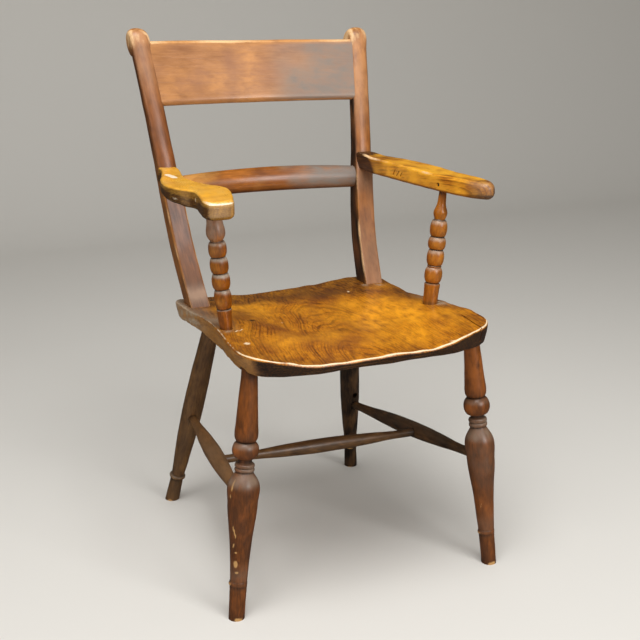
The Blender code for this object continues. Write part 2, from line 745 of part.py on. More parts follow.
def make_bar(name, middle, rings, tenon_height, thickness, posts):
    """A bar with a tenon in each post, each held by a peg from behind."""
    bar = loft(name, rings, parts, BACK_COLOUR, roughness=0.33)
    tenon_depth = thickness / 2 + BAR_TENON_BEHIND
    start = inner_face(SEAT_TOP + middle)
    root_end = start - BAR_TENON_ROOT
    tip_end = start + BAR_TENON_LENGTH

    def tenon_place(side, low, high):
        span, mid = (high - low) / 2, (high + low) / 2
        return lambda x, y, z: bar_point(middle, BAR_SETBACK, side * (mid + x * span), tenon_depth + y, z)

    for side_name, side in SIDES.items():
        post = posts[side_name]
        half = (1.0, BAR_TENON_THICKNESS / 2, tenon_height / 2)
        tenon = block(f"{name}_tenon_{side_name}", tenon_place(side, root_end, tip_end), half, cutters)
        cut(bar, tenon, "UNION")
        wide = (1.0, half[1] + FIT_GAP, half[2] + FIT_GAP)
        place = tenon_place(side, root_end, tip_end + FIT_GAP)
        cut(post, block(f"{name}_mortise_{side_name}", place, wide, cutters))
        across = side * (start + BAR_TENON_LENGTH * PEG_PLACE)
        tip = Vector(bar_point(middle, BAR_SETBACK, across, tenon_depth, 0.0))
        away = (Vector(bar_point(middle, BAR_SETBACK, across, tenon_depth + 1.0, 0.0)) - tip).normalized()
        tail = tip - away * (BAR_TENON_THICKNESS / 2 + PEG_TIP)
        length = (post_back(middle) - tail.y) / away.y
        peg = [(0.0, PEG_DIAMETER / 2), (length, PEG_DIAMETER / 2)]
        peg_name = f"{name}_peg_{side_name}"
        turned(peg_name, peg, tail, tail + away, PEG_STEPS, parts, PEG_COLOUR, roughness=0.6)
        mouth = tail + away * (length + CUTTER_SPARE)
        drill(f"{peg_name}_hole", tail - away * FIT_GAP, mouth, PEG_DIAMETER + 2 * FIT_GAP, post, bar)


def make_posts(seat):
    """The two posts with their wedged through tenons."""
    depth = SEAT_THICKNESS - SEAT_BACK_FALL
    lean = math.tan(post_lean(-SEAT_BACK_FALL))
    centre = (post_front(-SEAT_BACK_FALL) + post_back(-SEAT_BACK_FALL)) / 2
    posts = {}
    for name, side in SIDES.items():
        mesh = post_mesh(f"back_post_{name}", side)
        post = add_mesh(f"back_post_{name}", mesh, parts, BACK_COLOUR, roughness=0.35)

        def slanted(x, y, z, side=side):
            rise = z - depth
            middle = side * post_middle(rise - SEAT_BACK_FALL)
            return middle + x, centre + rise * lean + y, SEAT_HEIGHT + z

        def tenon_place(low, high):
            return lambda x, y, z: slanted(x, y, (low + high) / 2 + z * (high - low) / 2)

        half = (POST_TENON_WIDTH / 2, POST_TENON_DEPTH / 2, 1.0)
        tenon = block(f"post_tenon_{name}", tenon_place(0.0, depth + POST_TENON_ROOT), half, cutters)
        cut(post, tenon, "UNION")
        wide = (half[0] + FIT_GAP, half[1] + FIT_GAP, 1.0)
        mortise = tenon_place(-POST_TENON_ROOT, depth + POST_TENON_ROOT)
        cut(seat, block(f"post_mortise_{name}", mortise, wide, cutters))

        def wedge_place(low, high, spare):
            def place(x, y, z):
                height = (low + high) / 2 + z * (high - low) / 2
                share = height / WEDGE_LENGTH
                thick = WEDGE_THICKNESS + share * (WEDGE_TIP_THICKNESS - WEDGE_THICKNESS)
                return slanted(x * (thick / 2 + spare), y, height)

            return place

        run = (1.0, POST_TENON_DEPTH / 2, 1.0)
        wedge = wedge_place(0.0, WEDGE_LENGTH, 0.0)
        block(f"post_wedge_{name}", wedge, run, parts, PEG_COLOUR, roughness=0.6)
        slot = (1.0, POST_TENON_DEPTH / 2 + 2 * FIT_GAP, 1.0)
        slot_place = wedge_place(-POST_TENON_ROOT, WEDGE_LENGTH + FIT_GAP, FIT_GAP)
        cut(post, block(f"wedge_slot_{name}", slot_place, slot, cutters))
        posts[name] = post
    return posts


def make_back(seat):
    """The posts and the two bars between them."""
    posts = make_posts(seat)
    top_rings = bar_rings(TOP_BAR_MIDDLE, TOP_BAR_BOW, top_bar_section)
    make_bar("top_bar", TOP_BAR_MIDDLE, top_rings, TOP_BAR_TENON_HEIGHT, TOP_BAR_THICKNESS, posts)
    low_rings = bar_rings(LOWER_BAR_MIDDLE, LOWER_BAR_BOW, lower_bar_section)
    make_bar("lower_bar", LOWER_BAR_MIDDLE, low_rings, LOWER_BAR_TENON_HEIGHT, LOWER_BAR_THICKNESS, posts)
    return posts


# Arms


def arm_outline():
    """Plan of the right arm, as (x, y): inner edge from the post to the nose, then the outer edge back."""
    post_x, post_y = post_middle(ARM_HEIGHT), post_front(ARM_HEIGHT)
    hold_x, hold_y = SUPPORT_TOP
    end = post_y + ARM_END_INSET
    elbow = post_y - ARM_ELBOW_REACH
    return [
        (post_x - ARM_HALF_END, end),
        (post_x - ARM_HALF_END, post_y - ARM_END_INSET),
        (post_x - ARM_ELBOW_INNER, post_y - ARM_ELBOW_REACH * 0.67),
        (post_x + ARM_ELBOW_INNER, elbow),
        (hold_x - ARM_PAD_INNER * 0.54, hold_y + ARM_NOSE * 0.91),
        (hold_x - ARM_PAD_INNER, hold_y + ARM_NOSE * 0.37),
        (hold_x - ARM_PAD_INNER * 0.80, hold_y - ARM_NOSE * 0.10),
        (hold_x - ARM_PAD_INNER * 0.24, hold_y - ARM_NOSE * 0.55),
        (hold_x + ARM_EAR_OUTER * 0.17, hold_y - ARM_NOSE * 0.93),
        (hold_x + ARM_EAR_OUTER * 0.50, hold_y - ARM_NOSE),
        (hold_x + ARM_EAR_OUTER * 0.88, hold_y - ARM_NOSE * 0.91),
        (hold_x + ARM_EAR_OUTER, hold_y - ARM_NOSE * 0.63),
        (hold_x + ARM_PAD_OUTER * 1.12, hold_y - ARM_NOSE * 0.22),
        (hold_x + ARM_PAD_OUTER, hold_y + ARM_NOSE * 0.04),
        (hold_x + ARM_PAD_OUTER * 1.17, hold_y + ARM_NOSE * 0.41),
        (post_x + ARM_ELBOW_OUTER, elbow),
        (post_x + ARM_ELBOW_OUTER * 0.92, post_y - ARM_ELBOW_REACH * 0.67),
        (post_x + ARM_ELBOW_OUTER * 0.74, post_y - ARM_ELBOW_REACH * 0.33),
        (post_x + ARM_HALF_END, post_y - ARM_END_INSET * 0.4),
        (post_x + ARM_HALF_END, end),
    ]


def make_arm(name, side, post):
    """A serpentine arm, thicker at the nose, scribed and screwed to the front of its post."""
    outline = [(side * x, y) for x, y in arm_outline()]
    half = ARM_FRONT_THICKNESS / 2
    curved = tuple(range(2, len(outline) - 2))
    work = slab(outline, half, ARM_EDGE_ROUND, smooth_corners=curved)
    for vert in work.verts:
        thickness = arm_thickness(vert.co.y)
        vert.co.z = arm_top(vert.co.y) - thickness / 2 + vert.co.z / half * thickness / 2
    arm = add_mesh(f"arm_{name}", mesh_from(work, f"arm_{name}"), parts, ARM_COLOUR, roughness=0.35)
    cut(arm, add_mesh(f"arm_scribe_{name}", post_mesh("arm_scribe", side, FIT_GAP), cutters))
    level = ARM_HEIGHT - ARM_SCREW_DROP
    back = Vector((side * post_middle(level), post_back(level) - FIT_GAP, SEAT_TOP + level))
    ahead = Vector((side * math.sin(ARM_SCREW_TURN), -math.cos(ARM_SCREW_TURN), 0.0))
    length = (post_back(level) - post_front(level)) / math.cos(ARM_SCREW_TURN) + ARM_SCREW_GRIP
    shank, head = ARM_SCREW_DIAMETER / 2, ARM_SCREW_HEAD_DIAMETER / 2
    sink = head - shank
    screw = [(0.0, head), (sink, shank), (length - 2 * shank, shank), (length, shank * ARM_SCREW_POINT)]
    iron = {"roughness": 0.5, "metallic": 1.0}
    turned(f"arm_screw_{name}", screw, back, back + ahead, PEG_STEPS, parts, IRON_COLOUR, **iron)
    wide, narrow = head + FIT_GAP, shank + FIT_GAP
    hole = [(-CUTTER_SPARE, wide), (0.0, wide), (sink, narrow), (length + FIT_GAP, narrow)]
    bore = turned(f"arm_screw_hole_{name}", hole, back, back + ahead, LEG_STEPS, cutters)
    cut(post, bore)
    cut(arm, bore)
    return arm


def support_profile(length, crown, neck):
    """A support's turning from the seat up: foot, beads and a pear whose crown narrows to the neck."""
    groove = BEAD_GROOVE_DIAMETER / 2
    foot = SUPPORT_FOOT_DIAMETER / 2
    top = length - SUPPORT_STRAIGHT
    profile = [(-SUPPORT_TENON_LENGTH, foot), (SUPPORT_STRAIGHT, foot)]
    profile += [(SUPPORT_FOOT_LENGTH * 0.92, SUPPORT_FOOT_TOP_DIAMETER / 2)]
    profile += [(SUPPORT_FOOT_LENGTH, groove)]
    for i in range(BEAD_COUNT):
        low = SUPPORT_FOOT_LENGTH + i * BEAD_LENGTH
        profile += bead(low, low + BEAD_LENGTH, groove, BEAD_DIAMETER / 2, BEAD_POINTS)[1:]
    pear = SUPPORT_FOOT_LENGTH + BEAD_COUNT * BEAD_LENGTH
    heights = (pear, pear + PEAR_RISE, (pear + PEAR_RISE + top) / 2, top)
    radii = (PEAR_GROOVE_DIAMETER / 2, crown, (crown + neck) / 2, neck)
    profile += swell(heights, radii, PEAR_POINTS)[1:]
    return profile + [(length + SUPPORT_TENON_LENGTH, neck)]


def make_support(name, side, seat, arm):
    """A bobbin-turned support, tenoned into the seat and the arm and pinned there."""
    under = arm_top(SUPPORT_TOP[1]) - arm_thickness(SUPPORT_TOP[1])
    foot = mirrored((*SUPPORT_BASE, SEAT_TOP), side)
    head = mirrored((*SUPPORT_TOP, under), side)
    axis = (head - foot).normalized()
    neck_diameter = SUPPORT_NECK_DIAMETERS[name]
    profile = support_profile((head - foot).length, PEAR_DIAMETERS[name] / 2, neck_diameter / 2)
    support_name = f"arm_support_{name}"
    support = turned(support_name, profile, foot, head, SUPPORT_STEPS, parts, SUPPORT_COLOUR, roughness=0.4)
    depth = axis * (SUPPORT_TENON_LENGTH + FIT_GAP)
    spare = axis * SUPPORT_TENON_LENGTH
    clear = 2 * FIT_GAP
    drill(f"support_foot_socket_{name}", foot - depth, foot + spare, SUPPORT_FOOT_DIAMETER + clear, seat)
    drill(f"support_head_socket_{name}", head - spare, head + depth, neck_diameter + clear, arm)
    middle = head + axis * SUPPORT_TENON_LENGTH / 2
    inward = Vector((-side, 0.0, 0.0))
    past_axis = neck_diameter / 4
    start = middle - inward * past_axis
    length = ARM_PAD_INNER - ARM_PIN_DIAMETER / 4 + past_axis
    pin = [(0.0, ARM_PIN_DIAMETER / 2), (length, ARM_PIN_DIAMETER / 2)]
    turned(f"arm_pin_{name}", pin, start, start + inward, PEG_STEPS, parts, IRON_COLOUR, roughness=0.6)
    tip = start - inward * FIT_GAP
    mouth = start + inward * (length + CUTTER_SPARE)
    drill(f"arm_pin_hole_{name}", tip, mouth, ARM_PIN_DIAMETER + clear, arm, support)


def make_arms(seat, posts):
    """Both arms and the supports under them."""
    for name, side in SIDES.items():
        arm = make_arm(name, side, posts[name])
        make_support(name, side, seat, arm)


def centre_over_floor():
    """Moves the chair so that its box is centred over the origin."""
    bpy.context.view_layer.update()
    graph = bpy.context.evaluated_depsgraph_get()
    points = []
    for obj in parts.objects:
        shape = obj.evaluated_get(graph)
        mesh = shape.to_mesh()
        points += [shape.matrix_world @ vert.co for vert in mesh.vertices]
        shape.to_mesh_clear()
    low, high = np.min(points, axis=0), np.max(points, axis=0)
    root.location = (-(low[0] + high[0]) / 2, -(low[1] + high[1]) / 2, 0.0)


for old in list(bpy.data.objects):
    bpy.data.objects.remove(old)
parts = bpy.data.collections.new("bar_back_dining_chair")
cutters = bpy.data.collections.new("chair_cutters")
for group in (parts, cutters):
    bpy.context.scene.collection.children.link(group)
root = bpy.data.objects.new("chair_frame", None)
bpy.context.scene.collection.objects.link(root)

board = make_seat()
make_base(board)
make_arms(board, make_back(board))
centre_over_floor()
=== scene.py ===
"""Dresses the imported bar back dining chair: finely turned, sawn and saddled pieces of old polished wood.

Metres, +Z up, the sitter faces -Y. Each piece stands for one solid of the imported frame, with the same
sizes, and carries the marks of its making and its wear as values at its points, which the finishes read.
"""

import logging
import math
from collections.abc import Callable
from dataclasses import dataclass, field, replace
from enum import Enum
from functools import partial
from typing import Any

import bmesh
import bpy
import numpy as np
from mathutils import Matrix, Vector

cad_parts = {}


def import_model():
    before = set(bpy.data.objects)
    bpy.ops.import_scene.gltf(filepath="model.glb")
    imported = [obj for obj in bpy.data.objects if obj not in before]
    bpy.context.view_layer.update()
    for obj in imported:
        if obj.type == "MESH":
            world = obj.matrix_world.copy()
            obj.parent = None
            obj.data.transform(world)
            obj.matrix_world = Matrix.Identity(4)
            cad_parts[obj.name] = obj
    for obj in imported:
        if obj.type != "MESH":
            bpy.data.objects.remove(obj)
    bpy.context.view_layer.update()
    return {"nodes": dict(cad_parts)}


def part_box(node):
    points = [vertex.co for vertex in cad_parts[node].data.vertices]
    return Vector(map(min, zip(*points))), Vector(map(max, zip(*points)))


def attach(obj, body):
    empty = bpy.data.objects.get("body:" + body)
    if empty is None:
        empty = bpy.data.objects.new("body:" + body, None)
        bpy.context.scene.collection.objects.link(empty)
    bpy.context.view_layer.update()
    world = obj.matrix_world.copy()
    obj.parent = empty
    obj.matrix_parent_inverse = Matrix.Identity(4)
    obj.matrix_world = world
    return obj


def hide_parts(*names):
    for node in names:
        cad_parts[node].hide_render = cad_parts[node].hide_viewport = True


LOG = logging.getLogger("chair")
Array = np.ndarray
Mesh = bpy.types.Mesh
Socket = bpy.types.NodeSocket
Tree = bpy.types.NodeTree
Pair = tuple[float, float]
Triple = tuple[float, float, float]
Many = tuple[float, ...]
Profile = list[Pair]
Feeds = dict[int | str, Any]

BODY = "root"
FIT_GAP = 0.0003
MILLIMETRE = 0.001
FULL_TURN = 2.0 * math.pi
SHARP_ANGLE = math.radians(38.0)


class Side(Enum):
    """The chair's two sides, as seen from its front."""

    LEFT = -1.0
    RIGHT = 1.0

    @property
    def label(self) -> str:
        """The side's name as the nodes spell it."""
        return self.name.lower()

    @property
    def index(self) -> int:
        """The side's place in pairs, left first."""
        return 0 if self is Side.LEFT else 1


# Numbers and curves


def ramp(low: float, high: float, value: Array) -> Array:
    """An S-curve from 0 at low to 1 at high, where low may be the larger."""
    t = np.clip((np.asarray(value, float) - low) / (high - low), 0.0, 1.0)
    return t * t * (3.0 - 2.0 * t)


def bell(middle: float, spread: float, value: Array) -> Array:
    """A soft bump of height 1 at its middle, by how far it spreads to each side."""
    return np.exp(-(((np.asarray(value, float) - middle) / spread) ** 2))


def spot(points: Array, x: float, y: float, size: float) -> Array:
    """A soft round spot of height 1, seen from above."""
    return bell(0.0, size, np.hypot(points[:, 0] - x, points[:, 1] - y))


def away_from(middle: Array | float, angle: Array) -> Array:
    """How far angles lie from a middle one, the shorter way round."""
    return (angle - middle + math.pi) % FULL_TURN - math.pi


def span(start: Triple, end: Triple) -> float:
    """The distance between two places."""
    return (Vector(end) - Vector(start)).length


def smooth(knots: Many, values: Many, at: Array) -> Array:
    """A smooth line through a few points.

    Args:
        knots: Places of the points, rising.
        values: The line's value at each.
        at: The places to read it at.

    Returns:
        The line's values there.
    """
    known, heights = np.asarray(knots, float), np.asarray(values, float)
    slopes = np.gradient(heights, known)
    at = np.asarray(at, float)
    index = np.clip(np.searchsorted(known, at) - 1, 0, len(known) - 2)
    width = known[index + 1] - known[index]
    t = (at - known[index]) / width
    rise = (2 * t**3 - 3 * t**2 + 1) * heights[index] + (3 * t**2 - 2 * t**3) * heights[index + 1]
    lean = (t**3 - 2 * t**2 + t) * slopes[index] + (t**3 - t**2) * slopes[index + 1]
    return rise + lean * width


def ripple(points: Array, seed: int, length: float, count: int = 7) -> Array:
    """A gentle unevenness in space, made of a few crossed waves.

    Args:
        points: Places, one per row.
        seed: Which unevenness.
        length: About how long its waves are.
        count: How many waves cross.

    Returns:
        One value per place, mostly from -1 to 1.
    """
    draw = np.random.default_rng(seed)
    ways = draw.normal(size=(count, 3))
    ways /= np.linalg.norm(ways, axis=1, keepdims=True)
    waves = length * draw.uniform(0.6, 1.7, size=count)
    starts = draw.uniform(0.0, FULL_TURN, size=count)
    return np.sin(points @ (ways / waves[:, None]).T * FULL_TURN + starts).sum(axis=1) / 3.2


def bead(low: float, high: float, base: float, crown: float, points: int = 12) -> Profile:
    """Turning points of a rounded bead.

    Args:
        low: Height where it starts.
        high: Height where it ends.
        base: Radius at both ends.
        crown: Radius at its middle.
        points: How many steps it takes.

    Returns:
        Pairs of height and radius.
    """
    turns = np.linspace(0.0, math.pi, points + 1)
    middle, half = (low + high) / 2, (high - low) / 2
    return [(middle - half * math.cos(a), base + (crown - base) * math.sin(a)) for a in turns]


def swell(heights: Many, radii: Many, points: int = 60) -> Profile:
    """Turning points along a smooth swelling through known radii at known heights."""
    places = np.linspace(heights[0], heights[-1], points)
    return list(zip(places.tolist(), smooth(heights, radii, places).tolist()))


# Meshes


def mesh_of_rows(name: str, rows: Array, merge: float = 0.00002) -> Mesh:
    """A closed skin over rows of points that each run once round a piece.

    Args:
        name: The mesh's name.
        rows: Points as (row, place round the row, 3).
        merge: Points nearer than this become one.

    Returns:
        The mesh, with a face over each end and its faces turned outwards.
    """
    count, around = rows.shape[:2]
    work = bmesh.new()
    verts = [work.verts.new(p) for p in rows.reshape(-1, 3).tolist()]
    for i in range(count - 1):
        for j in range(around):
            k = (j + 1) % around
            low, high = i * around, (i + 1) * around
            work.faces.new((verts[low + j], verts[low + k], verts[high + k], verts[high + j]))
    work.faces.new(verts[:around])
    work.faces.new(verts[-around:])
    bmesh.ops.remove_doubles(work, verts=work.verts, dist=merge)
    work.normal_update()
    bmesh.ops.recalc_face_normals(work, faces=work.faces)
    mesh = bpy.data.meshes.new(name)
    work.to_mesh(mesh)
    work.free()
    return mesh


def points_of(mesh: Mesh) -> Array:
    """The mesh's points, one per row."""
    flat = np.empty(len(mesh.vertices) * 3)
    mesh.vertices.foreach_get("co", flat)
    return flat.reshape(-1, 3)


def normals_of(mesh: Mesh) -> Array:
    """The mesh's normals at its points, one per row."""
    flat = np.empty(len(mesh.vertices) * 3)
    mesh.vertex_normals.foreach_get("vector", flat)
    return flat.reshape(-1, 3)


def push_out(mesh: Mesh, amounts: Array) -> None:
    """Moves a mesh's points outwards, each by its own amount."""
    places = points_of(mesh) + normals_of(mesh) * amounts[:, None]
    mesh.vertices.foreach_set("co", places.ravel())
    mesh.update()


def rod(start: Triple | Vector, end: Triple | Vector, radii: Many, steps: int = 40) -> Array:
    """Rows of a round rod or pit, for a cutter.

    Args:
        start: The axis's first end.
        end: Its other end.
        radii: Radii at even steps along it.
        steps: Points round it.

    Returns:
        Points as (row, place round the row, 3).
    """
    first, last = Vector(start), Vector(end)
    axis = (last - first).normalized()
    across = axis.orthogonal().normalized()
    other = axis.cross(across)
    turns = np.linspace(0.0, FULL_TURN, steps, endpoint=False)
    ring = np.outer(np.cos(turns), across) + np.outer(np.sin(turns), other)
    places = np.linspace(0.0, 1.0, len(radii))
    return np.stack([np.array(first.lerp(last, t)) + ring * r for t, r in zip(places, radii)])


def bore(place: Triple, toward: Triple, near: float, far: float, diameter: float) -> Array:
    """Rows of a cutter for a round socket, a glue gap wider than the tenon in it.

    Args:
        place: Where distances along the socket's axis are counted from.
        toward: Another place on the axis.
        near: Distance where the socket starts; behind the place it is negative.
        far: Distance where it ends.
        diameter: The tenon's own.

    Returns:
        Points as (row, place round the row, 3).
    """
    start = Vector(place)
    axis = (Vector(toward) - start).normalized()
    return rod(start + axis * near, start + axis * far, (diameter / 2 + FIT_GAP,) * 2)


def slit(points: Array, inward: Triple, width: float, depth: float) -> Array:
    """Rows of a thin blade, for a cutter that opens a crack along a line on a surface.

    Args:
        points: Places along the crack, on the surface.
        inward: The way into the wood.
        width: How wide the crack is at the surface.
        depth: How deep it goes.

    Returns:
        Points as (row, place round the row, 3).
    """
    way = np.array(inward, float) / np.linalg.norm(inward)
    along = np.gradient(np.asarray(points, float), axis=0)
    across = np.cross(along, way)
    across *= width / np.linalg.norm(across, axis=1, keepdims=True)
    out = points - way * depth * 0.5
    deep = points + way * depth
    return np.stack((out - across, out + across, deep + across * 0.4, deep - across * 0.4), axis=1)


def combined(mesh: Mesh, tools: list[Array], operation: str = "DIFFERENCE") -> Mesh:
    """Takes solids out of a solid, or joins them to it.

    Args:
        mesh: The solid; it is removed.
        tools: Rows of the other solids.
        operation: "UNION" or "DIFFERENCE".

    Returns:
        The new solid.
    """
    scene = bpy.context.scene
    name = mesh.name
    piece = bpy.data.objects.new("stock", mesh)
    scene.collection.objects.link(piece)
    used = [piece]
    for rows in tools:
        obj = bpy.data.objects.new("tool", mesh_of_rows("tool", rows))
        scene.collection.objects.link(obj)
        step = piece.modifiers.new("step", "BOOLEAN")
        step.operation = operation
        step.solver = "EXACT"
        step.object = obj
        used.append(obj)
    graph = bpy.context.evaluated_depsgraph_get()
    result = bpy.data.meshes.new_from_object(piece.evaluated_get(graph))
    for obj in used:
        data = obj.data
        bpy.data.objects.remove(obj)
        bpy.data.meshes.remove(data)
    result.name = name
    result.materials.clear()
    return result


# Finishes


def linear(code: str) -> tuple[float, float, float, float]:
    """A colour in sRGB hex, such as "#a0703c", as the linear one with full alpha that shaders want."""
    parts = [int(code[i : i + 2], 16) / 255.0 for i in (1, 3, 5)]
    levels = [v / 12.92 if v <= 0.04045 else ((v + 0.055) / 1.055) ** 2.4 for v in parts]
    return (levels[0], levels[1], levels[2], 1.0)


def feed(tree: Tree, node: bpy.types.Node, feeds: Feeds) -> None:
    """Gives a node's inputs what they take: another node's output, or a value.

    Args:
        tree: The nodes that it is one of.
        node: The node.
        feeds: By an input's name or place.
    """
    for name, value in feeds.items():
        if isinstance(value, Socket):
            tree.links.new(value, node.inputs[name])
        else:
            node.inputs[name].default_value = value


def add_node(tree: Tree, kind: str, feeds: Feeds, output: int | str = 0, **settings: Any) -> Socket:
    """Adds one node.

    Args:
        tree: The nodes that it joins.
        kind: Its type, without the prefix that all of them have.
        feeds: What its inputs take.
        output: Which of its outputs is wanted.
        settings: Its own settings.

    Returns:
        That output.
    """
    node = tree.nodes.new(f"ShaderNode{kind}")
    for name, value in settings.items():
        setattr(node, name, value)
    feed(tree, node, feeds)
    return node.outputs[output]


def new_material(name: str) -> tuple[bpy.types.Material, Tree, bpy.types.Node]:
    """A new material, with its nodes and its shader."""
    made = bpy.data.materials.new(name)
    made.use_nodes = True
    return made, made.node_tree, made.node_tree.nodes["Principled BSDF"]


class Mark(Enum):
    """What polish, use and age leave on a piece, with the painted light and shade laid in the same marks, in
    the order in which they lie on each other.
    """

    # Golden polish, and painted highlights and reflections
    WARM = "warm"
    # Grime, and painted shade
    DARK = "dark"
    # Bare rubbed wood, and painted highlights
    WORN = "worn"
    # Grey dust and bloom, and painted sheen and reflections
    DUST = "dust"


@dataclass(frozen=True)
class WoodFinish:
    """An old wood with its stain and polish, drawn from the grain out to the wear on top of it.

    The grain comes from the piece's own board, so it runs along each piece and follows its curves.
    Growth rings are cut by the surface into lines and arches, fibres and pores streak along them, stain
    lies in clouds, and the marks of each piece add golden polish, grime, bare rubbed wood and grey bloom,
    with painted highlights, sheen and shade laid in the same marks.
    Fibres, flecks and pores are drawn several times coarser than life, because they are too fine to show.
    """

    name: str
    light: str
    middle: str
    deep: str
    line: str
    patch: str
    # Colours of the marks, which also paint light: warm and bare paint highlights, dust paints sheen and
    # reflections, and grime paints shade
    warm: str
    grime: str
    bare: str
    dust: str
    ring_mm: float
    line_strength: float
    pore_strength: float
    fibre_mm: float
    fibre_length_mm: float
    patch_mm: float
    patch_strength: float
    roughness: float
    bump_mm: float
    coat: float = 0.15
    coat_roughness: float = 0.2
    ior: float = 1.5
    wander_mm: float = 70.0
    wander_depth_mm: float = 9.0
    speck_mm: Pair = (3.0, 5.0)
    own_board: bool = True

    def material(self) -> bpy.types.Material:
        """The finish as a material."""
        made, tree, shader = new_material(self.name)
        if self.own_board:
            grain = add_node(tree, "Attribute", {}, "Vector", attribute_name="grain")
        else:
            grain = add_node(tree, "TexCoord", {}, "Object")
        fibre = self._noise(tree, grain, self.fibre_mm, self.fibre_length_mm, 3.0)
        patch = self._noise(tree, grain, self.patch_mm, self.patch_mm * 1.9, 3.0)
        speck = self._noise(tree, grain, *self.speck_mm, 2.0)
        mottle = self._noise(tree, grain, self.patch_mm * 0.26, self.patch_mm * 0.6, 5.0)
        line = self._rings(tree, grain)
        colour = self._colour(tree, grain, line, fibre, patch)
        masks = self._masks(tree, (mottle, fibre, speck, mottle))
        for mark, code in zip(Mark, (self.warm, self.grime, self.bare, self.dust)):
            colour = add_node(tree, "Mix", {0: masks[mark], 6: colour, 7: linear(code)}, 2, data_type="RGBA")
        relief = add_node(tree, "Math", {0: line, 1: -0.5, 2: fibre}, operation="MULTIPLY_ADD")
        heights = {"Strength": 0.35, "Distance": self.bump_mm * MILLIMETRE, "Height": relief}
        feeds = {
            "Base Color": colour,
            "Roughness": self._roughness(tree, masks, fibre, patch),
            "Normal": add_node(tree, "Bump", heights),
            "IOR": self.ior,
            "Coat Weight": self.coat,
            "Coat Roughness": self.coat_roughness,
        }
        feed(tree, shader, feeds)
        return made

    def _noise(self, tree: Tree, grain: Socket, wide_mm: float, long_mm: float, detail: float) -> Socket:
        """Cloudy variation of a given size in the board.

        Args:
            tree: The material's nodes.
            grain: Places in the board.
            wide_mm: Size across the grain.
            long_mm: Size along the grain.
            detail: How many finer layers it has.

        Returns:
            Values about 0.5.
        """
        wide, along = 1.0 / (wide_mm * MILLIMETRE), 1.0 / (long_mm * MILLIMETRE)
        scaled = add_node(tree, "VectorMath", {0: grain, 1: (wide, wide, along)}, operation="MULTIPLY")
        feeds = {"Vector": scaled, "Scale": 1.0, "Detail": detail, "Roughness": 0.6}
        return add_node(tree, "TexNoise", feeds)

    def _rings(self, tree: Tree, grain: Socket) -> Socket:
        """The thin line that ends each year's growth of the log that the board came from.

        Args:
            tree: The material's nodes.
            grain: Places in the board, from the heart of the log.

        Returns:
            Values from 0 to 1 on the line.
        """
        wide = 1.0 / (self.wander_mm * MILLIMETRE)
        scaled = add_node(tree, "VectorMath", {0: grain, 1: (wide, wide, wide / 3.2)}, operation="MULTIPLY")
        clouds = add_node(tree, "TexNoise", {"Vector": scaled, "Scale": 1.0, "Detail": 1.5}, "Color")
        depth = self.wander_depth_mm * MILLIMETRE * 4.0
        feeds = {0: clouds, 1: (depth, depth, 0.0), 2: grain}
        bent = add_node(tree, "VectorMath", feeds, operation="MULTIPLY_ADD")
        flat = add_node(tree, "VectorMath", {0: bent, 1: (1.0, 1.0, 0.0)}, operation="MULTIPLY")
        heart = add_node(tree, "VectorMath", {0: flat}, "Value", operation="LENGTH")
        years = add_node(tree, "Math", {0: heart, 1: 1.0 / (self.ring_mm * MILLIMETRE)}, operation="MULTIPLY")
        bands = add_node(tree, "TexNoise", {"W": years, "Scale": 0.8, "Detail": 2.0}, noise_dimensions="1D")
        uneven = add_node(tree, "Math", {0: bands, 1: 1.2, 2: years}, operation="MULTIPLY_ADD")
        part = add_node(tree, "Math", {0: uneven}, operation="FRACT")
        feeds = {"Value": part, "From Min": 0.50, "From Max": 0.92}
        return add_node(tree, "MapRange", feeds, interpolation_type="SMOOTHSTEP")

    def _colour(self, tree: Tree, grain: Socket, line: Socket, fibre: Socket, patch: Socket) -> Socket:
        """The wood's own colour under its marks.

        Args:
            tree: The material's nodes.
            grain: Places in the board.
            line: The line that ends each year.
            fibre: Streaks along the grain.
            patch: Cloudy stain.

        Returns:
            The colour.
        """
        blotch = self._noise(tree, grain, self.patch_mm * 0.35, self.patch_mm * 0.8, 2.0)
        tone = add_node(tree, "Mix", {0: 0.5, 2: blotch, 3: fibre}, data_type="FLOAT")
        colour = add_node(tree, "ValToRGB", {"Fac": tone}, "Color")
        shades = colour.node.color_ramp.elements
        shades[0].position, shades[0].color = 0.34, linear(self.light)
        shades[1].position, shades[1].color = 0.66, linear(self.deep)
        shades.new(0.5).color = linear(self.middle)
        pores = self._noise(tree, grain, self.fibre_mm * 0.8, self.fibre_length_mm * 0.45, 1.0)
        layers = (
            (blotch, 0.30, 0.56, self.line_strength, self.line),
            (pores, 0.58, 0.70, self.pore_strength, self.line),
            (patch, 0.44, 0.68, self.patch_strength, self.patch),
        )
        for cloud, low, high, strength, code in layers:
            feeds = {"Value": cloud, "From Min": low, "From Max": high, "To Max": strength}
            mask = add_node(tree, "MapRange", feeds, interpolation_type="SMOOTHSTEP")
            if cloud is blotch:
                mask = add_node(tree, "Math", {0: mask, 1: line}, operation="MULTIPLY")
            colour = add_node(tree, "Mix", {0: mask, 6: colour, 7: linear(code)}, 2, data_type="RGBA")
        return colour

    def _masks(self, tree: Tree, clouds: tuple[Socket, ...]) -> dict[Mark, Socket]:
        """Where each mark lies: bare wear and painted highlights break up into spots, and the rest thins out
        softly.

        Args:
            tree: The material's nodes.
            clouds: What makes each mark uneven.

        Returns:
            Masks from 0 to 1.
        """
        masks = {}
        for mark, cloud, spread in zip(Mark, clouds, (3.8, 1.0, 0.9, 1.6)):
            value = add_node(tree, "Attribute", {}, "Fac", attribute_name=mark.value)
            low, high = (0.35, 0.75) if mark is Mark.WORN else (0.0, 1.0)
            feeds = {0: cloud, 1: spread, 2: 1.0 - spread / 2}
            share = add_node(tree, "Math", feeds, operation="MULTIPLY_ADD")
            uneven = add_node(tree, "Math", {0: value, 1: share}, operation="MULTIPLY")
            masks[mark] = add_node(tree, "MapRange", {"Value": uneven, "From Min": low, "From Max": high})
        return masks

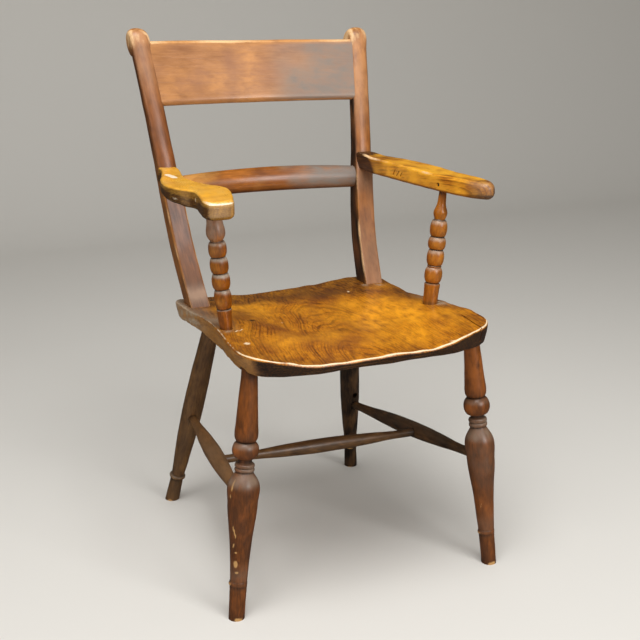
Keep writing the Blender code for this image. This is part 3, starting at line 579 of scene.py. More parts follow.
    def _roughness(self, tree: Tree, masks: dict[Mark, Socket], fibre: Socket, patch: Socket) -> Socket:
        """How dull the polish is.

        Args:
            tree: The material's nodes.
            masks: Where each mark lies.
            fibre: Streaks along the grain.
            patch: Cloudy wear of the polish.

        Returns:
            The roughness.
        """
        level: Socket | float = self.roughness - 0.14
        grimy, worn, dusty = (masks[mark] for mark in (Mark.DARK, Mark.WORN, Mark.DUST))
        for mask, more in ((patch, 0.2), (fibre, 0.08), (grimy, 0.12), (worn, 0.2), (dusty, 0.25)):
            level = add_node(tree, "Math", {0: mask, 1: more, 2: level}, operation="MULTIPLY_ADD")
        return level


@dataclass(frozen=True)
class IronFinish:
    """Forged iron, rusted: dull brown patches over dark metal."""

    name: str = "iron_forged_rusted"
    metal: str = "#3a3430"
    rust: str = "#4b2a17"
    patch_mm: float = 2.5
    bump_mm: float = 0.3
    roughness: float = 0.6

    def material(self) -> bpy.types.Material:
        """The finish as a material."""
        made, tree, shader = new_material(self.name)
        place = add_node(tree, "TexCoord", {}, "Object")
        feeds = {"Vector": place, "Scale": 1.0 / (self.patch_mm * MILLIMETRE), "Detail": 4.0}
        clouds = add_node(tree, "TexNoise", feeds)
        feeds = {"Value": clouds, "From Min": 0.4, "From Max": 0.6}
        mask = add_node(tree, "MapRange", feeds, interpolation_type="SMOOTHSTEP")
        shades = {0: mask, 6: linear(self.metal), 7: linear(self.rust)}
        heights = {"Strength": 0.4, "Distance": self.bump_mm * MILLIMETRE, "Height": clouds}
        feeds = {
            "Base Color": add_node(tree, "Mix", shades, 2, data_type="RGBA"),
            "Metallic": add_node(tree, "Math", {0: 1.0, 1: mask}, operation="SUBTRACT"),
            "Normal": add_node(tree, "Bump", heights),
            "Roughness": self.roughness,
        }
        feed(tree, shader, feeds)
        return made


# Elm, saddled with an adze and waxed: deep gold with brown clouds and dark pores that run front to back.
# Real pores are under half a millimetre wide; they are drawn about five times coarser so that they show
ELM_SEAT = WoodFinish(
    "elm_adzed_waxed",
    light="#d28716", middle="#b46c0e", deep="#84460a", line="#4a2506", patch="#7a4214",
    warm="#ee9f1c", grime="#27190f", bare="#ecd2ab", dust="#a08a72",
    ring_mm=5.0, line_strength=0.68, pore_strength=0.5, fibre_mm=2.6, fibre_length_mm=38.0,
    patch_mm=48.0, patch_strength=0.75, roughness=0.34, bump_mm=0.4,
)
# Elm, sawn, shaped with a spokeshave and waxed: bright gold with brown arches of growth rings, which are
# drawn wider apart than most elm grows so that they show
ELM_ARM = WoodFinish(
    "elm_spokeshaved_waxed",
    light="#e9a832", middle="#cc831c", deep="#9e5a10", line="#663408", patch="#b2692a",
    warm="#f4b02e", grime="#41230c", bare="#e2bb8b", dust="#b89a7c",
    ring_mm=7.0, line_strength=0.85, pore_strength=0.2, fibre_mm=2.4, fibre_length_mm=36.0,
    patch_mm=50.0, patch_strength=0.5, roughness=0.34, bump_mm=0.3,
    wander_mm=170.0, wander_depth_mm=7.0,
)
# The same elm, rubbed by hands until its grain is almost gone: an even golden yellow
ELM_RUBBED = replace(
    ELM_ARM, name="elm_spokeshaved_rubbed",
    light="#efb950", middle="#e4a83e", deep="#c98a28", patch="#d69634", grime="#52310f", bare="#f4e2c4",
    line_strength=0.12, pore_strength=0.08, roughness=0.30,
)
# Beech, turned, stained dark and polished: red brown with small flecks, dull where the polish has bloomed
BEECH_LEG = WoodFinish(
    "beech_turned_stained",
    light="#84481c", middle="#6a3a14", deep="#4a270d", line="#33190a", patch="#4f2f1b",
    warm="#96541e", grime="#1b1009", bare="#bd8f54", dust="#7a6350",
    ring_mm=9.0, line_strength=0.2, pore_strength=0.3, fibre_mm=2.6, fibre_length_mm=16.0,
    patch_mm=34.0, patch_strength=0.6, roughness=0.33, bump_mm=0.25,
)
# The same turned beech under the seat, where no hand rubs it: an olive brown with a dry, dusty polish
BEECH_DULL = replace(
    BEECH_LEG, name="beech_turned_dull",
    light="#8c6236", middle="#76522c", deep="#5a3b1e", line="#3a2513", patch="#5a4128",
    warm="#8f5e2e", dust="#806950", roughness=0.40,
)
# Beech, sawn to its bend and polished: a soft pinkish brown, rubbed lighter on its edges
BEECH_BACK = WoodFinish(
    "beech_sawn_polished",
    light="#9e602f", middle="#854d22", deep="#623616", line="#522a12", patch="#744525",
    warm="#c07d3a", grime="#2c1a0b", bare="#e0b683", dust="#a88870",
    ring_mm=14.0, line_strength=0.15, pore_strength=0.15, fibre_mm=3.0, fibre_length_mm=34.0,
    patch_mm=48.0, patch_strength=0.6, roughness=0.36, bump_mm=0.2, coat=0.06,
)
# The upper bar's beech, leant on for years: pale and cloudy, with hardly any grain left to see
BEECH_TOP_BAR = replace(
    BEECH_BACK, name="beech_sawn_rubbed",
    light="#a9764e", middle="#9a6942", deep="#875834", patch="#8e6046", warm="#c58a50", dust="#7c6f64",
    line_strength=0.04, pore_strength=0.05, roughness=0.30, coat=0.15,
)
# The lower bar's beech: glossy orange brown with dark clouds
BEECH_LOW_BAR = replace(
    BEECH_BACK, name="beech_shaved_polished",
    light="#b36c2a", middle="#985a20", deep="#6f3e15", patch="#744322", warm="#c98d46", dust="#776b61",
    roughness=0.26, coat=0.15,
)
# Beech, turned into beads and polished: orange brown, with black grooves and grey dust on the shoulders
BEECH_BEADS = WoodFinish(
    "beech_turned_polished",
    light="#a65d0c", middle="#8b4a09", deep="#643506", line="#4a2608", patch="#6c3b12",
    warm="#c58026", grime="#140b06", bare="#c99f74", dust="#a99886",
    ring_mm=8.0, line_strength=0.2, pore_strength=0.25, fibre_mm=2.2, fibre_length_mm=16.0,
    patch_mm=22.0, patch_strength=0.5, roughness=0.32, bump_mm=0.2,
)
# Riven pegs and wedges, cut flush: dry brown end grain
PEG_END = WoodFinish(
    "beech_riven_end_grain",
    light="#8a6238", middle="#74502c", deep="#5a3b1f", line="#4a2f18", patch="#5d3f22",
    warm="#8a6238", grime="#2e1d10", bare="#a98457", dust="#a08a70",
    ring_mm=1.5, line_strength=0.4, pore_strength=0.2, fibre_mm=0.8, fibre_length_mm=8.0,
    patch_mm=5.0, patch_strength=0.4, roughness=0.65, bump_mm=0.3, coat=0.0, own_board=False,
)


# Pieces


@dataclass(frozen=True)
class Paint:
    """What a finish reads at each point of a piece: its place in the board, and its marks from 0 to 1."""

    grain: Array
    warm: Array | float = 0.0
    dark: Array | float = 0.0
    worn: Array | float = 0.0
    dust: Array | float = 0.0


Brush = Callable[[Array, Array], Paint]


class Workshop:
    """Keeps the frame's shift and one material for each finish, and sets pieces on the frame."""

    def __init__(self, shift: Vector) -> None:
        """Starts with the place of the frame's centre."""
        self.shift = shift
        self.materials: dict[str, bpy.types.Material] = {}

    def material(self, finish: WoodFinish | IronFinish) -> bpy.types.Material:
        """The finish's one material."""
        if finish.name not in self.materials:
            self.materials[finish.name] = finish.material()
        return self.materials[finish.name]

    def set_piece(
        self, mesh: Mesh, brush: Brush | None, finish: WoodFinish | IronFinish, node: str
    ) -> None:
        """Puts a finished piece in the place of its solid.

        Args:
            mesh: Its shape, in the maker's own coordinates, with the piece's name.
            brush: What makes its paint from its points and normals, if its finish has any.
            finish: Its wood or metal.
            node: The solid that it stands for.
        """
        if brush is not None:
            paint = brush(points_of(mesh), normals_of(mesh))
            layer = mesh.attributes.new("grain", "FLOAT_VECTOR", "POINT")
            layer.data.foreach_set("vector", np.ascontiguousarray(paint.grain, np.float32).ravel())
            for mark in Mark:
                values = np.zeros(len(paint.grain)) + getattr(paint, mark.value)
                layer = mesh.attributes.new(mark.value, "FLOAT", "POINT")
                layer.data.foreach_set("value", np.clip(values, 0.0, 1.0).astype(np.float32))
        mesh.shade_smooth()
        mesh.set_sharp_from_angle(angle=SHARP_ANGLE)
        mesh.materials.clear()
        mesh.materials.append(self.material(finish))
        piece = bpy.data.objects.new(mesh.name, mesh)
        bpy.context.scene.collection.objects.link(piece)
        piece.location = self.shift
        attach(piece, BODY)
        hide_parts(node)
        LOG.info("%s: %d points for %s", piece.name, len(mesh.vertices), node)


@dataclass(frozen=True)
class SeatBoard:
    """The saddled seat: a thick elm board, wide in front and waisted, cut under towards its underside.

    Chips and dirt are round spots, as their place in plan and their size.
    """

    height: float = 0.394
    thickness: float = 0.033
    front: float = -0.277
    back: float = 0.157
    width_places: Many = (-0.277, -0.170, -0.100, -0.030, 0.157)
    left_half_widths: Many = (0.2360, 0.2155, 0.2040, 0.1985, 0.2020)
    right_half_widths: Many = (0.2360, 0.2340, 0.2200, 0.2065, 0.2020)
    front_corner_powers: Pair = (5.0, 4.0)
    back_corner_power: float = 20.0
    front_round: float = 0.0042
    back_round: float = 0.0022
    bottom_round: float = 0.004
    front_undercut: float = 0.012
    back_undercut: float = 0.002
    saddle_depth: float = 0.011
    thigh_depth: float = 0.0155
    thigh_outer: float = 0.200
    thigh_inner: float = 0.085
    thigh_shift: float = -0.015
    pommel: float = 0.0018
    back_dip: float = 0.006
    back_fall: float = 0.0075
    right_rise: float = 0.0055
    flank_dip: float = 0.0035
    post_foot: float = 0.0890
    nail_hole: Pair = (-0.131, -0.0533)
    nail_radii: Pair = (0.0022, 0.0030)
    nail_depth: float = 0.020
    crack: tuple[Pair, ...] = (
        (0.1960, -0.172), (0.1930, -0.188), (0.1888, -0.213), (0.1842, -0.246), (0.1826, -0.280)
    )
    crack_size: Pair = (0.0015, 0.024)
    chips: tuple[Triple, ...] = (
        (-0.1853, -0.1697, 0.0058), (0.1190, -0.2680, 0.0030), (0.1050, 0.0680, 0.0030),
        (-0.0800, -0.0600, 0.0020), (-0.1720, -0.1000, 0.0028), (-0.1790, -0.1035, 0.0022),
        (-0.1655, -0.0960, 0.0018), (0.2040, -0.0850, 0.0024),
    )
    dirt: tuple[Triple, ...] = (
        (-0.190, -0.1005, 0.006), (0.203, -0.093, 0.010), (0.150, 0.088, 0.006), (0.176, 0.079, 0.007)
    )
    segments: int = 264
    top_rows: int = 52

    @property
    def top(self) -> float:
        """Height of the rim over the floor."""
        return self.height + self.thickness

    @property
    def middle(self) -> float:
        """Y of the board's middle."""
        return (self.front + self.back) / 2

    def reach(self, angle: Array) -> Array:
        """Distance from the board's middle to its edge, in directions in plan.

        Args:
            angle: The directions.

        Returns:
            The distances.
        """
        left = np.cos(angle) < 0
        front_power = np.where(left, *self.front_corner_powers)
        power = front_power + (self.back_corner_power - front_power) * ramp(-0.2, 0.2, np.sin(angle))
        half_depth = (self.back - self.front) / 2
        near, far = np.zeros_like(angle), np.full_like(angle, 0.5)
        for _ in range(40):
            reach = (near + far) / 2
            y = self.middle + reach * np.sin(angle)
            place = np.clip(y, self.front, self.back)
            sides = (self.left_half_widths, self.right_half_widths)
            half_width = np.where(left, *(smooth(self.width_places, widths, place) for widths in sides))
            across = np.abs(reach * np.cos(angle) / half_width) ** power
            inside = across + np.abs((y - self.middle) / half_depth) ** power < 1.0
            near, far = np.where(inside, reach, near), np.where(inside, far, reach)
        return near

    def hollow(self, x: Array, y: Array, share: Array) -> Array:
        """How far the saddled top lies under the rim.

        Args:
            x: Places from side to side.
            y: Places from front to back.
            share: 0 at the middle of the board and 1 at its edge.

        Returns:
            The depths.
        """
        bowl = self.saddle_depth * (1.0 - ramp(0.28, 0.78, share))
        forward = ramp(self.middle + 0.02, self.front + 0.01, y)
        scoop = self.thigh_depth * ramp(self.thigh_outer, self.thigh_inner, np.abs(x - self.thigh_shift))
        thigh = forward * (scoop - self.pommel * bell(0.02, 0.03, x))
        dip = self.back_dip * ramp(self.middle, self.back, y) * bell(-0.045, 0.11, x)
        fall = (self.back_fall - self.right_rise * ramp(0.05, 0.17, x)) * ramp(self.middle, self.post_foot, y)
        flank = self.flank_dip * bell(0.015, 0.05, y) * ramp(0.16, 0.20, x)
        parts = (bowl, np.maximum(thigh, 0.0), np.maximum(fall + dip, 0.0))
        return np.sum([part**4 for part in parts], axis=0) ** 0.25 + flank

    def shape(self) -> Mesh:
        """The board as rings from the middle of its top, over its edge, to the middle of its underside."""
        corner = math.atan2((self.back - self.front) / 2, self.left_half_widths[-1])
        close = np.linspace(-0.09, 0.09, 30)
        angle = np.linspace(0.0, FULL_TURN, self.segments, endpoint=False)
        angle = np.unique(np.concatenate([angle, corner + close, math.pi - corner + close]))
        edge = self.reach(angle)
        edge_y = self.middle + edge * np.sin(angle)
        roll = self.back_round + (self.front_round - self.back_round) * ramp(0.0, -0.15, edge_y)
        low = self.back_undercut + (self.front_undercut - self.back_undercut) * ramp(-0.05, -0.25, edge_y)
        low *= 1.0 - 0.6 * ramp(0.12, 0.20, edge * np.cos(angle))
        turns = np.linspace(0.0, math.pi / 2, 8)[1:]
        rows = [((edge - roll) * share, 0.0, None) for share in np.linspace(0.0, 1.0, self.top_rows)]
        rows += [(edge - roll * (1 - math.sin(a)), roll * (1 - math.cos(a)), None) for a in turns]
        rows += [(edge - low * t**1.4, None, t) for t in np.linspace(0.0, 1.0, 7)[1:]]
        for a in turns:
            inset = low + self.bottom_round * (1 - math.cos(a))
            rows.append((edge - inset, self.bottom_round * (1 - math.sin(a)), 1.0))
        rows += [((edge - low - self.bottom_round) * t, 0.0, 1.0) for t in np.linspace(1.0, 0.0, 15)[1:]]
        made = []
        for reach, drop, down in rows:
            x = reach * np.cos(angle)
            y = self.middle + reach * np.sin(angle)
            rim = self.top - self.hollow(x, y, np.minimum(reach / edge, 1.0))
            if down is None:
                z = rim - drop
            elif drop is None:
                start, end = rim - roll, self.height + self.bottom_round
                z = start + (end - start) * down
            else:
                z = np.full_like(x, self.height + drop)
            made.append(np.stack([x, y, z], axis=1))
        mesh = mesh_of_rows("seat_board", np.stack(made))
        points = points_of(mesh)
        nicks = ramp(0.90, 0.99, self.edge_share(points)) * ripple(points, 31, 0.022) * 0.0006
        push_out(mesh, nicks + ripple(points, 32, 0.060) * 0.0005)
        return mesh

    def edge_share(self, points: Array) -> Array:
        """How near points lie to the board's edge: 0 at its middle and 1 at its edge."""
        away = points[:, 1] - self.middle
        return np.hypot(points[:, 0], away) / self.reach(np.arctan2(away, points[:, 0]))

    def faults(self) -> list[Array]:
        """Cutters for the crack in the right front corner and the old nail hole."""
        plan = np.array(self.crack)
        share = np.minimum(self.edge_share(plan), 1.0)
        height = self.top - self.hollow(*plan.T, share)
        x, y = self.nail_hole
        pit = rod((x, y, self.top - self.nail_depth), (x, y, self.top + 0.004), self.nail_radii, 16)
        return [slit(np.column_stack([plan, height]), (0.0, 0.0, -1.0), *self.crack_size), pit]

    def paint(self, points: Array, normals: Array) -> Paint:
        """Grain from front to back, golden where sitters polish it, and brown, rubbed or dusty round its rim,
        with grime and painted shade on its edge and a painted highlight on its rubbed rim line.

        Args:
            points: The board's points.
            normals: Its normals there.

        Returns:
            The board's paint.
        """
        x, y, z = points.T
        inset = self.reach(np.arctan2(y - self.middle, x)) * (1 - self.edge_share(points))
        up = normals[:, 2]
        top, face, ahead = ramp(0.5, 0.9, up), ramp(0.30, 0.0, up), ramp(-0.06, -0.16, y)
        front_face = np.maximum(ramp(0.35, 0.70, -normals[:, 1]), ramp(0.0, 0.5, normals[:, 0]) * ahead)
        side = face * ramp(0.0, -0.1, x) * (1.0 - front_face)
        wave, fine = ripple(points, 41, 0.06), ripple(points, 45, 0.014)
        grain = np.stack([x * 0.9 - 0.03 - 0.12 * y, (z - self.top) * 1.6 + 0.075 + 0.16 * y, y], axis=1)
        gold = 0.74 * bell(0.11, 0.09, x) * bell(-0.12, 0.11, y)
        gold += 0.12 * bell(0.02, 0.09, x) * bell(0.03, 0.07, y)
        gold += 0.75 * bell(-0.11, 0.05, x) * bell(0.04, 0.06, y)
        gold += 0.25 * bell(-0.08, 0.08, x) * bell(-0.17, 0.06, y)
        warm = np.clip(gold + 0.16 * wave + 0.10 * ripple(points, 44, 0.15), 0.0, 1.0) * top + 0.55 * side
        rear = ramp(-0.020, 0.030, y - 0.075 + 0.030 * bell(0.10, 0.09, x) - 0.012 * wave)
        flank = ramp(0.045, 0.012, inset + 0.010 * wave) * ramp(-0.15, -0.05, y)
        corner = ramp(0.05, 0.01, inset + 0.012 * wave) * bell(-0.17, 0.08, x) * bell(-0.22, 0.08, y)
        left = ramp(-0.155, -0.185, x) * ramp(-0.12, -0.03, y)
        brown = np.maximum.reduce([0.52 * rear, 0.42 * flank, 0.32 * corner, 0.34 * left])
        hole = spot(points, *self.nail_hole, 0.0045)
        # Grime and painted shade on the edge faces, darkest in front; darker round the nail hole
        dark = np.maximum.reduce([brown * top, face * (0.40 + 0.54 * front_face), 1.2 * hole])
        # The pale rim line: wear and a painted highlight along the rounded edge
        rim = ramp(0.40, 0.65, up) * ramp(0.985, 0.93, up) * ramp(0.0050, 0.0025, inset)
        broken = (0.34 * ramp(-0.10, -0.18, x) + 0.12 * ramp(-0.20, -0.10, y)) * ramp(0.10, 0.05, y)
        crust = ramp(0.012, 0.003, inset) * ramp(-0.15, -0.18, x) * ramp(-0.03, 0.05, y)
        worn = rim * np.clip(0.80 - broken + 0.25 * ahead + 0.30 * fine, 0.0, 1.0)
        worn += 0.55 * crust * (0.6 + 0.8 * fine)
        worn += 1.4 * top * sum(spot(points, *chip) for chip in self.chips)
        dust = 0.62 * left * top * (0.8 + 0.4 * wave) + 0.16 * side * (0.8 + 0.5 * wave)
        dust += 0.8 * crust * (0.7 + 0.6 * fine)
        dust += 0.45 * ramp(0.03, 0.008, inset) * bell(0.19, 0.05, x) * bell(-0.06, 0.04, y) * top
        dust += (0.8 + 0.5 * fine) * top * sum(spot(points, *place) for place in self.dirt)
        return Paint(grain, warm, dark, worn, dust)


@dataclass(frozen=True)
class Band:
    """A mark on a turning: all round it at a height, or only about an angle, where 0 is its front."""

    mark: Mark
    height: float
    spread: float
    amount: float = 1.0
    angle: float | None = None
    width: float = 0.3
    slant: float = 0.0
    upper: bool = False


def bands_of(mark: Mark, *places: Many, upper: bool = False) -> list[Band]:
    """Bands of one mark.

    Args:
        mark: The mark.
        places: Each band's height, spread and amount, and, if it has them, its angle, width and slant.
        upper: Whether they lie only on what faces up.

    Returns:
        The bands.
    """
    return [replace(Band(mark, *place), upper=upper) for place in places]


@dataclass
class Turning:
    """A piece turned on a lathe about the line from its foot to its head."""

    node: str
    slot: str
    finish: WoodFinish
    seed: int
    foot: Triple
    head: Triple
    profile: Profile
    bands: list[Band]
    steps: int = 48
    lumps: list[Triple] = field(default_factory=list)
    cutters: list[Array] = field(default_factory=list)

    def frame(self) -> tuple[Array, Array, Array]:
        """The lathe's axis, and the directions to the piece's front and to its right."""
        axis = np.array(self.head) - np.array(self.foot)
        axis /= np.linalg.norm(axis)
        front = np.array((0.0, -1.0, 0.0))
        if abs(axis[1]) > 0.8:
            front = np.array((-1.0, 0.0, 0.0))
        front -= axis * (front @ axis)
        front /= np.linalg.norm(front)
        return axis, front, np.cross(axis, front)

    def local(self, points: Array) -> tuple[Array, Array, Array]:
        """Distances of points to the front and the right of the axis, and their heights along it."""
        axis, front, right = self.frame()
        away = points - np.array(self.foot)
        return away @ front, away @ right, away @ axis

    def shape(self) -> Mesh:
        """The turning, with its slight unevenness, its lumps and its sockets."""
        axis, front, right = self.frame()
        turns = np.linspace(0.0, FULL_TURN, self.steps, endpoint=False)
        ring = np.outer(np.cos(turns), front) + np.outer(np.sin(turns), right)
        rows = [np.array(self.foot) + axis * h + ring * r for h, r in self.profile]
        mesh = mesh_of_rows(f"{self.node}_turned", np.stack(rows))
        points = points_of(mesh)
        uneven = ripple(points, self.seed, 0.045) * 0.00022
        u, v, height = self.local(points)
        for place, angle, size in self.lumps:
            uneven += size * bell(place, 0.003, height) * bell(0.0, 0.7, away_from(angle, np.arctan2(v, u)))
        push_out(mesh, uneven)
        return combined(mesh, self.cutters) if self.cutters else mesh

    def paint(self, points: Array, normals: Array) -> Paint:
        """Grain along the axis, with the piece's bands and spots of wear.

        Args:
            points: The piece's points.
            normals: Its normals there.

        Returns:
            The piece's paint.
        """
        u, v, height = self.local(points)
        draw = np.random.default_rng(self.seed)
        heart = draw.uniform(0.02, 0.05, 2)
        lean = draw.uniform(-0.06, 0.06, 2)
        across = (u + heart[0] + lean[0] * height, v + heart[1] + lean[1] * height)
        uneven = ripple(points, self.seed + 1, 0.03)
        turn = np.arctan2(v, u)
        marks = {mark: np.zeros(len(points)) for mark in Mark}
        for band in self.bands:
            amount = band.amount * bell(band.height, band.spread, height) * (1.0 + 0.3 * uneven)
            if band.angle is not None:
                middle = band.angle + band.slant * (height - band.height)
                amount = amount * bell(0.0, band.width, away_from(middle, turn))
            if band.upper:
                amount = amount * ramp(0.05, 0.5, normals[:, 2])
            marks[band.mark] = np.maximum(marks[band.mark], amount)
        return Paint(np.stack([*across, height + self.seed], axis=1), *marks.values())

    def dress(self, shop: Workshop) -> None:
        """Builds the piece and sets it in the place of its solid."""
        shop.set_piece(self.shape(), self.paint, self.finish, self.node)


@dataclass(frozen=True)
class LegTurning:
    """What sets one front leg apart from the other: its foot's place and how its upper part was turned."""

    foot: Pair
    shoulder: float
    collar: float
    neck: float
    ball: Pair
    warm: float
    scratched: bool


@dataclass(frozen=True)
class Base:
    """The turned legs under the seat, and the H of stretchers between them."""

    seat: SeatBoard
    fronts: tuple[LegTurning, LegTurning] = (
        LegTurning((0.234, -0.229), 0.0495, 0.0132, 0.0077, (0.0269, 0.0413), 0.25, True),
        LegTurning((0.224, -0.244), 0.0565, 0.0155, 0.0055, (0.0310, 0.0435), 0.90, False),
    )
    front_top: Pair = (0.1955, -0.206)
    back_foot: Pair = (0.1943, 0.2308)
    back_top: Pair = (0.134, 0.124)
    slot: str = "leg_wood"
    leg_steps: int = 60
    tenon: float = 0.020
    straight: float = 0.008
    foot_spare: float = 0.006
    floor_cut: Pair = (0.03, 0.06)
    foot_diameter: float = 0.025
    ankle: Pair = (0.0545, 0.0268)
    ring: Pair = (0.0075, 0.0276)
    lump: float = 0.0019
    shin: Pair = (0.060, 0.034)
    vase: Pair = (0.068, 0.0468)
    shoulder_place: float = 2 / 3
    shoulder_fullness: float = 0.98
    collar_diameter: float = 0.0305
    groove_diameter: float = 0.0255
    neck_diameter: float = 0.0212
    ball_foot_diameter: float = 0.0235
    cup_groove_diameter: float = 0.0298
    cup_rises: Triple = (0.0046, 0.0115, 0.0253)
    cup_diameter: float = 0.0362
    cup_fullness: float = 0.955
    front_top_diameter: float = 0.0258
    back_foot_diameter: float = 0.0263
    back_ankle: float = 0.052
    back_ring: Pair = (0.0075, 0.0307)
    back_shin_diameter: float = 0.0242
    back_swell: Pair = (0.120, 0.037)
    back_top_diameter: float = 0.0285
    back_shades: Pair = (0.26, 0.74)
    rail_back_heights: Pair = (0.184, 0.155)
    rail_diameters: Pair = (0.0152, 0.029)
    rail_stop: float = 0.006
    rail_flare: float = 1.06
    rail_taper: Pair = (0.294, 0.54)
    rail_shades: Pair = (0.06, 0.58)
    cross_place: float = 0.57
    cross_diameters: Pair = (0.014, 0.025)
    cross_stop: float = 0.003
    old_socket: Pair = (0.179, 0.011)

    def front_heights(self, leg: LegTurning) -> dict[str, float]:
        """Heights over the floor of a front leg's turned parts, by name.

        Args:
            leg: Which leg.

        Returns:
            The heights.
        """
        ring = self.ankle[0] + self.ring[0]
        vase = ring + self.shin[0] + self.vase[0]
        collar = vase + leg.shoulder
        neck = collar + leg.collar
        ball = neck + leg.neck
        parts = {"ankle": self.ankle[0], "ring": ring, "shin": ring + self.shin[0], "vase": vase}
        return {**parts, "collar": collar, "neck": neck, "ball": ball, "cup": ball + leg.ball[0]}

    def foot_profile(self, ankle: float, ring: float, diameters: Triple) -> Profile:
        """A leg's foot and ankle ring, from a little under the floor up.

        Args:
            ankle: Height where the ring starts.
            ring: Height where it ends.
            diameters: At the foot, the ankle and the ring.

        Returns:
            The profile.
        """
        foot, thin, fat = (v / 2 for v in diameters)
        line = [(-self.foot_spare, foot)]
        line += swell((-self.foot_spare + 0.0001, ankle), (foot, thin), 10)[:-1]
        return line + bead(ankle, ring, thin, fat)

    def front_profile(self, leg: LegTurning, length: float) -> Profile:
        """A front leg's turning from the floor up.

        Args:
            leg: Which leg.
            length: From the floor to the seat, along the leg.

        Returns:
            The profile.
        """
        part = self.front_heights(leg)
        groove, ankle, belly = self.groove_diameter / 2, self.ankle[1] / 2, self.vase[1] / 2
        shoulder = part["vase"] + leg.shoulder * self.shoulder_place
        diameters = (self.foot_diameter, self.ankle[1], self.ring[1])
        line = self.foot_profile(part["ankle"], part["ring"], diameters)
        knots = (part["ring"], part["shin"], part["vase"], shoulder, part["collar"])
        radii = (ankle, self.shin[1] / 2, belly, belly * self.shoulder_fullness, groove)
        line += swell(knots, radii, 70)[1:]
        half = leg.collar / 2
        for start in (part["collar"], part["collar"] + half):
            line += bead(start, start + half, groove, self.collar_diameter / 2, 9)[1:]
        neck = self.neck_diameter / 2
        line += [(part["neck"] + leg.neck * share, neck) for share in (0.32, 0.5, 0.68, 0.85)]
        line += bead(part["ball"], part["cup"], self.ball_foot_diameter / 2, leg.ball[1] / 2, 18)[:-1]
        cup, wide, hollow = part["cup"], self.cup_diameter / 2, self.cup_groove_diameter / 2
        full = wide * self.cup_fullness
        top, head = length - self.straight, self.front_top_diameter / 2
        low, middle, high = (cup + rise for rise in self.cup_rises)
        knots = (cup, low, middle, high, (high + top) / 2, top)
        line += swell(knots, (hollow, full, wide, full, (full + head) / 2, head), 44)
        return line + [(length + self.tenon, head)]

    def front_bands(self, leg: LegTurning, length: float) -> list[Band]:
        """Grime in a front leg's grooves, dust with a painted sheen on its collar and shoulders, a polished
        cup, a painted highlight on its ball, and scratches.

        Args:
            leg: Which leg.
            length: From the floor to the seat, along the leg.

        Returns:
            The marks.
        """
        part = self.front_heights(leg)
        middle = part["collar"] + leg.collar / 2
        dark = [(part["collar"], 0.0016, 0.95), (middle, 0.0012, 0.7), (part["cup"], 0.0022, 0.95)]
        dark += [(part["neck"] + leg.neck / 2, 0.0042, 0.85), (part["ankle"], 0.0016, 0.45)]
        dark += [(part["ring"], 0.0016, 0.35), (length, 0.010, 0.6), (0.0, 0.010, 0.35)]
        # Grey dust with a painted sheen on the collar, above the ring and on the upturned shoulders
        dust = [(middle, 0.007, 0.75), (part["ring"] + 0.012, 0.016, 0.25)]
        shoulders = [(part["collar"] - 0.012, 0.016, 0.75), (part["neck"] - 0.002, 0.003, 0.8)]
        shoulders.append((part["cup"] - 0.006, 0.006, 0.5))
        # The second warm band is a painted highlight on the ball's left front
        warm = [(length - 0.035, 0.040, leg.warm), (part["ball"] + 0.016, 0.012, 0.7, -1.3, 0.5)]
        worn = [(0.001, 0.004, 1.3, -0.1, 0.6), (part["ankle"] + 0.004, 0.0022, 0.75, -1.6, 0.5)]
        if leg.scratched:
            worn += [(0.221, 0.0100, 1.4, -1.15, 0.08, 4.0), (0.204, 0.0040, 1.2, -1.25, 0.06)]
            worn += [(0.147, 0.0130, 1.4, -0.95, 0.07, -14.0), (0.124, 0.0050, 1.3, -1.05, 0.09, 18.0)]
            worn += [(0.113, 0.0020, 1.3, -0.80, 0.20), (0.094, 0.0060, 1.5, -0.82, 0.24)]
            worn.append((0.080, 0.0022, 1.2, -0.65, 0.20))
        else:
            # Grey dust with a painted sheen over the vase
            dust.append((part["vase"], 0.045, 0.22))
            warm.append((part["shin"] - 0.025, 0.030, 0.35))
            worn.append((part["shin"] - 0.012, 0.0060, 0.8, -0.9, 0.06, 18.0))
        bands = bands_of(Mark.DARK, *dark) + bands_of(Mark.DUST, *dust)
        bands += bands_of(Mark.DUST, *shoulders, upper=True)
        return bands + bands_of(Mark.WARM, *warm) + bands_of(Mark.WORN, *worn)

    def back_profile(self, length: float) -> Profile:
        """The back leg's turning from the floor up.

        Args:
            length: From the floor to the seat, along the leg.

        Returns:
            The profile.
        """
        ring = self.back_ankle + self.back_ring[0]
        shin, top = self.back_shin_diameter / 2, self.back_top_diameter / 2
        knots = (ring, ring + self.back_swell[0], length - self.straight)
        diameters = (self.back_foot_diameter, self.back_shin_diameter, self.back_ring[1])
        line = self.foot_profile(self.back_ankle, ring, diameters)
        line += swell(knots, (shin, self.back_swell[1] / 2, top), 70)[1:]
        return line + [(length + self.tenon, top)]

    def rail_profile(self, length: float, stop: float, diameters: Pair) -> Profile:
        """A stretcher's turning between the axes that it joins.

        Args:
            length: From axis to axis.
            stop: How far short of each axis it ends.
            diameters: At its ends and at its middle.

        Returns:
            The profile.
        """
        place, fullness = self.rail_taper
        taper = length * place
        end, middle = diameters[0] / 2, diameters[1] / 2
        near, neck = (end + middle) * fullness, end * self.rail_flare
        knots = (stop, taper / 2, taper, length / 2, length - taper, length - taper / 2, length - stop)
        return swell(knots, (end, neck, near, middle, near, neck, end), 80)

    def on_leg(self, foot: Pair, top: Pair, height: float, side: Side) -> Triple:
        """The place on a leg's axis at a height over the floor."""
        share = height / self.seat.height
        x = foot[0] + share * (top[0] - foot[0])
        return (side.value * x, foot[1] + share * (top[1] - foot[1]), height)

    def leg_axis(self, kind: str, side: Side) -> tuple[Triple, Triple]:
        """Foot and head of the front or the back leg on one side.

        Args:
            kind: "front" or "back".
            side: Which side it is on.

        Returns:
            The two places.
        """
        foot, top = (self.back_foot, self.back_top)
        if kind == "front":
            foot, top = (self.fronts[side.index].foot, self.front_top)
        return self.on_leg(foot, top, 0.0, side), self.on_leg(foot, top, self.seat.height, side)

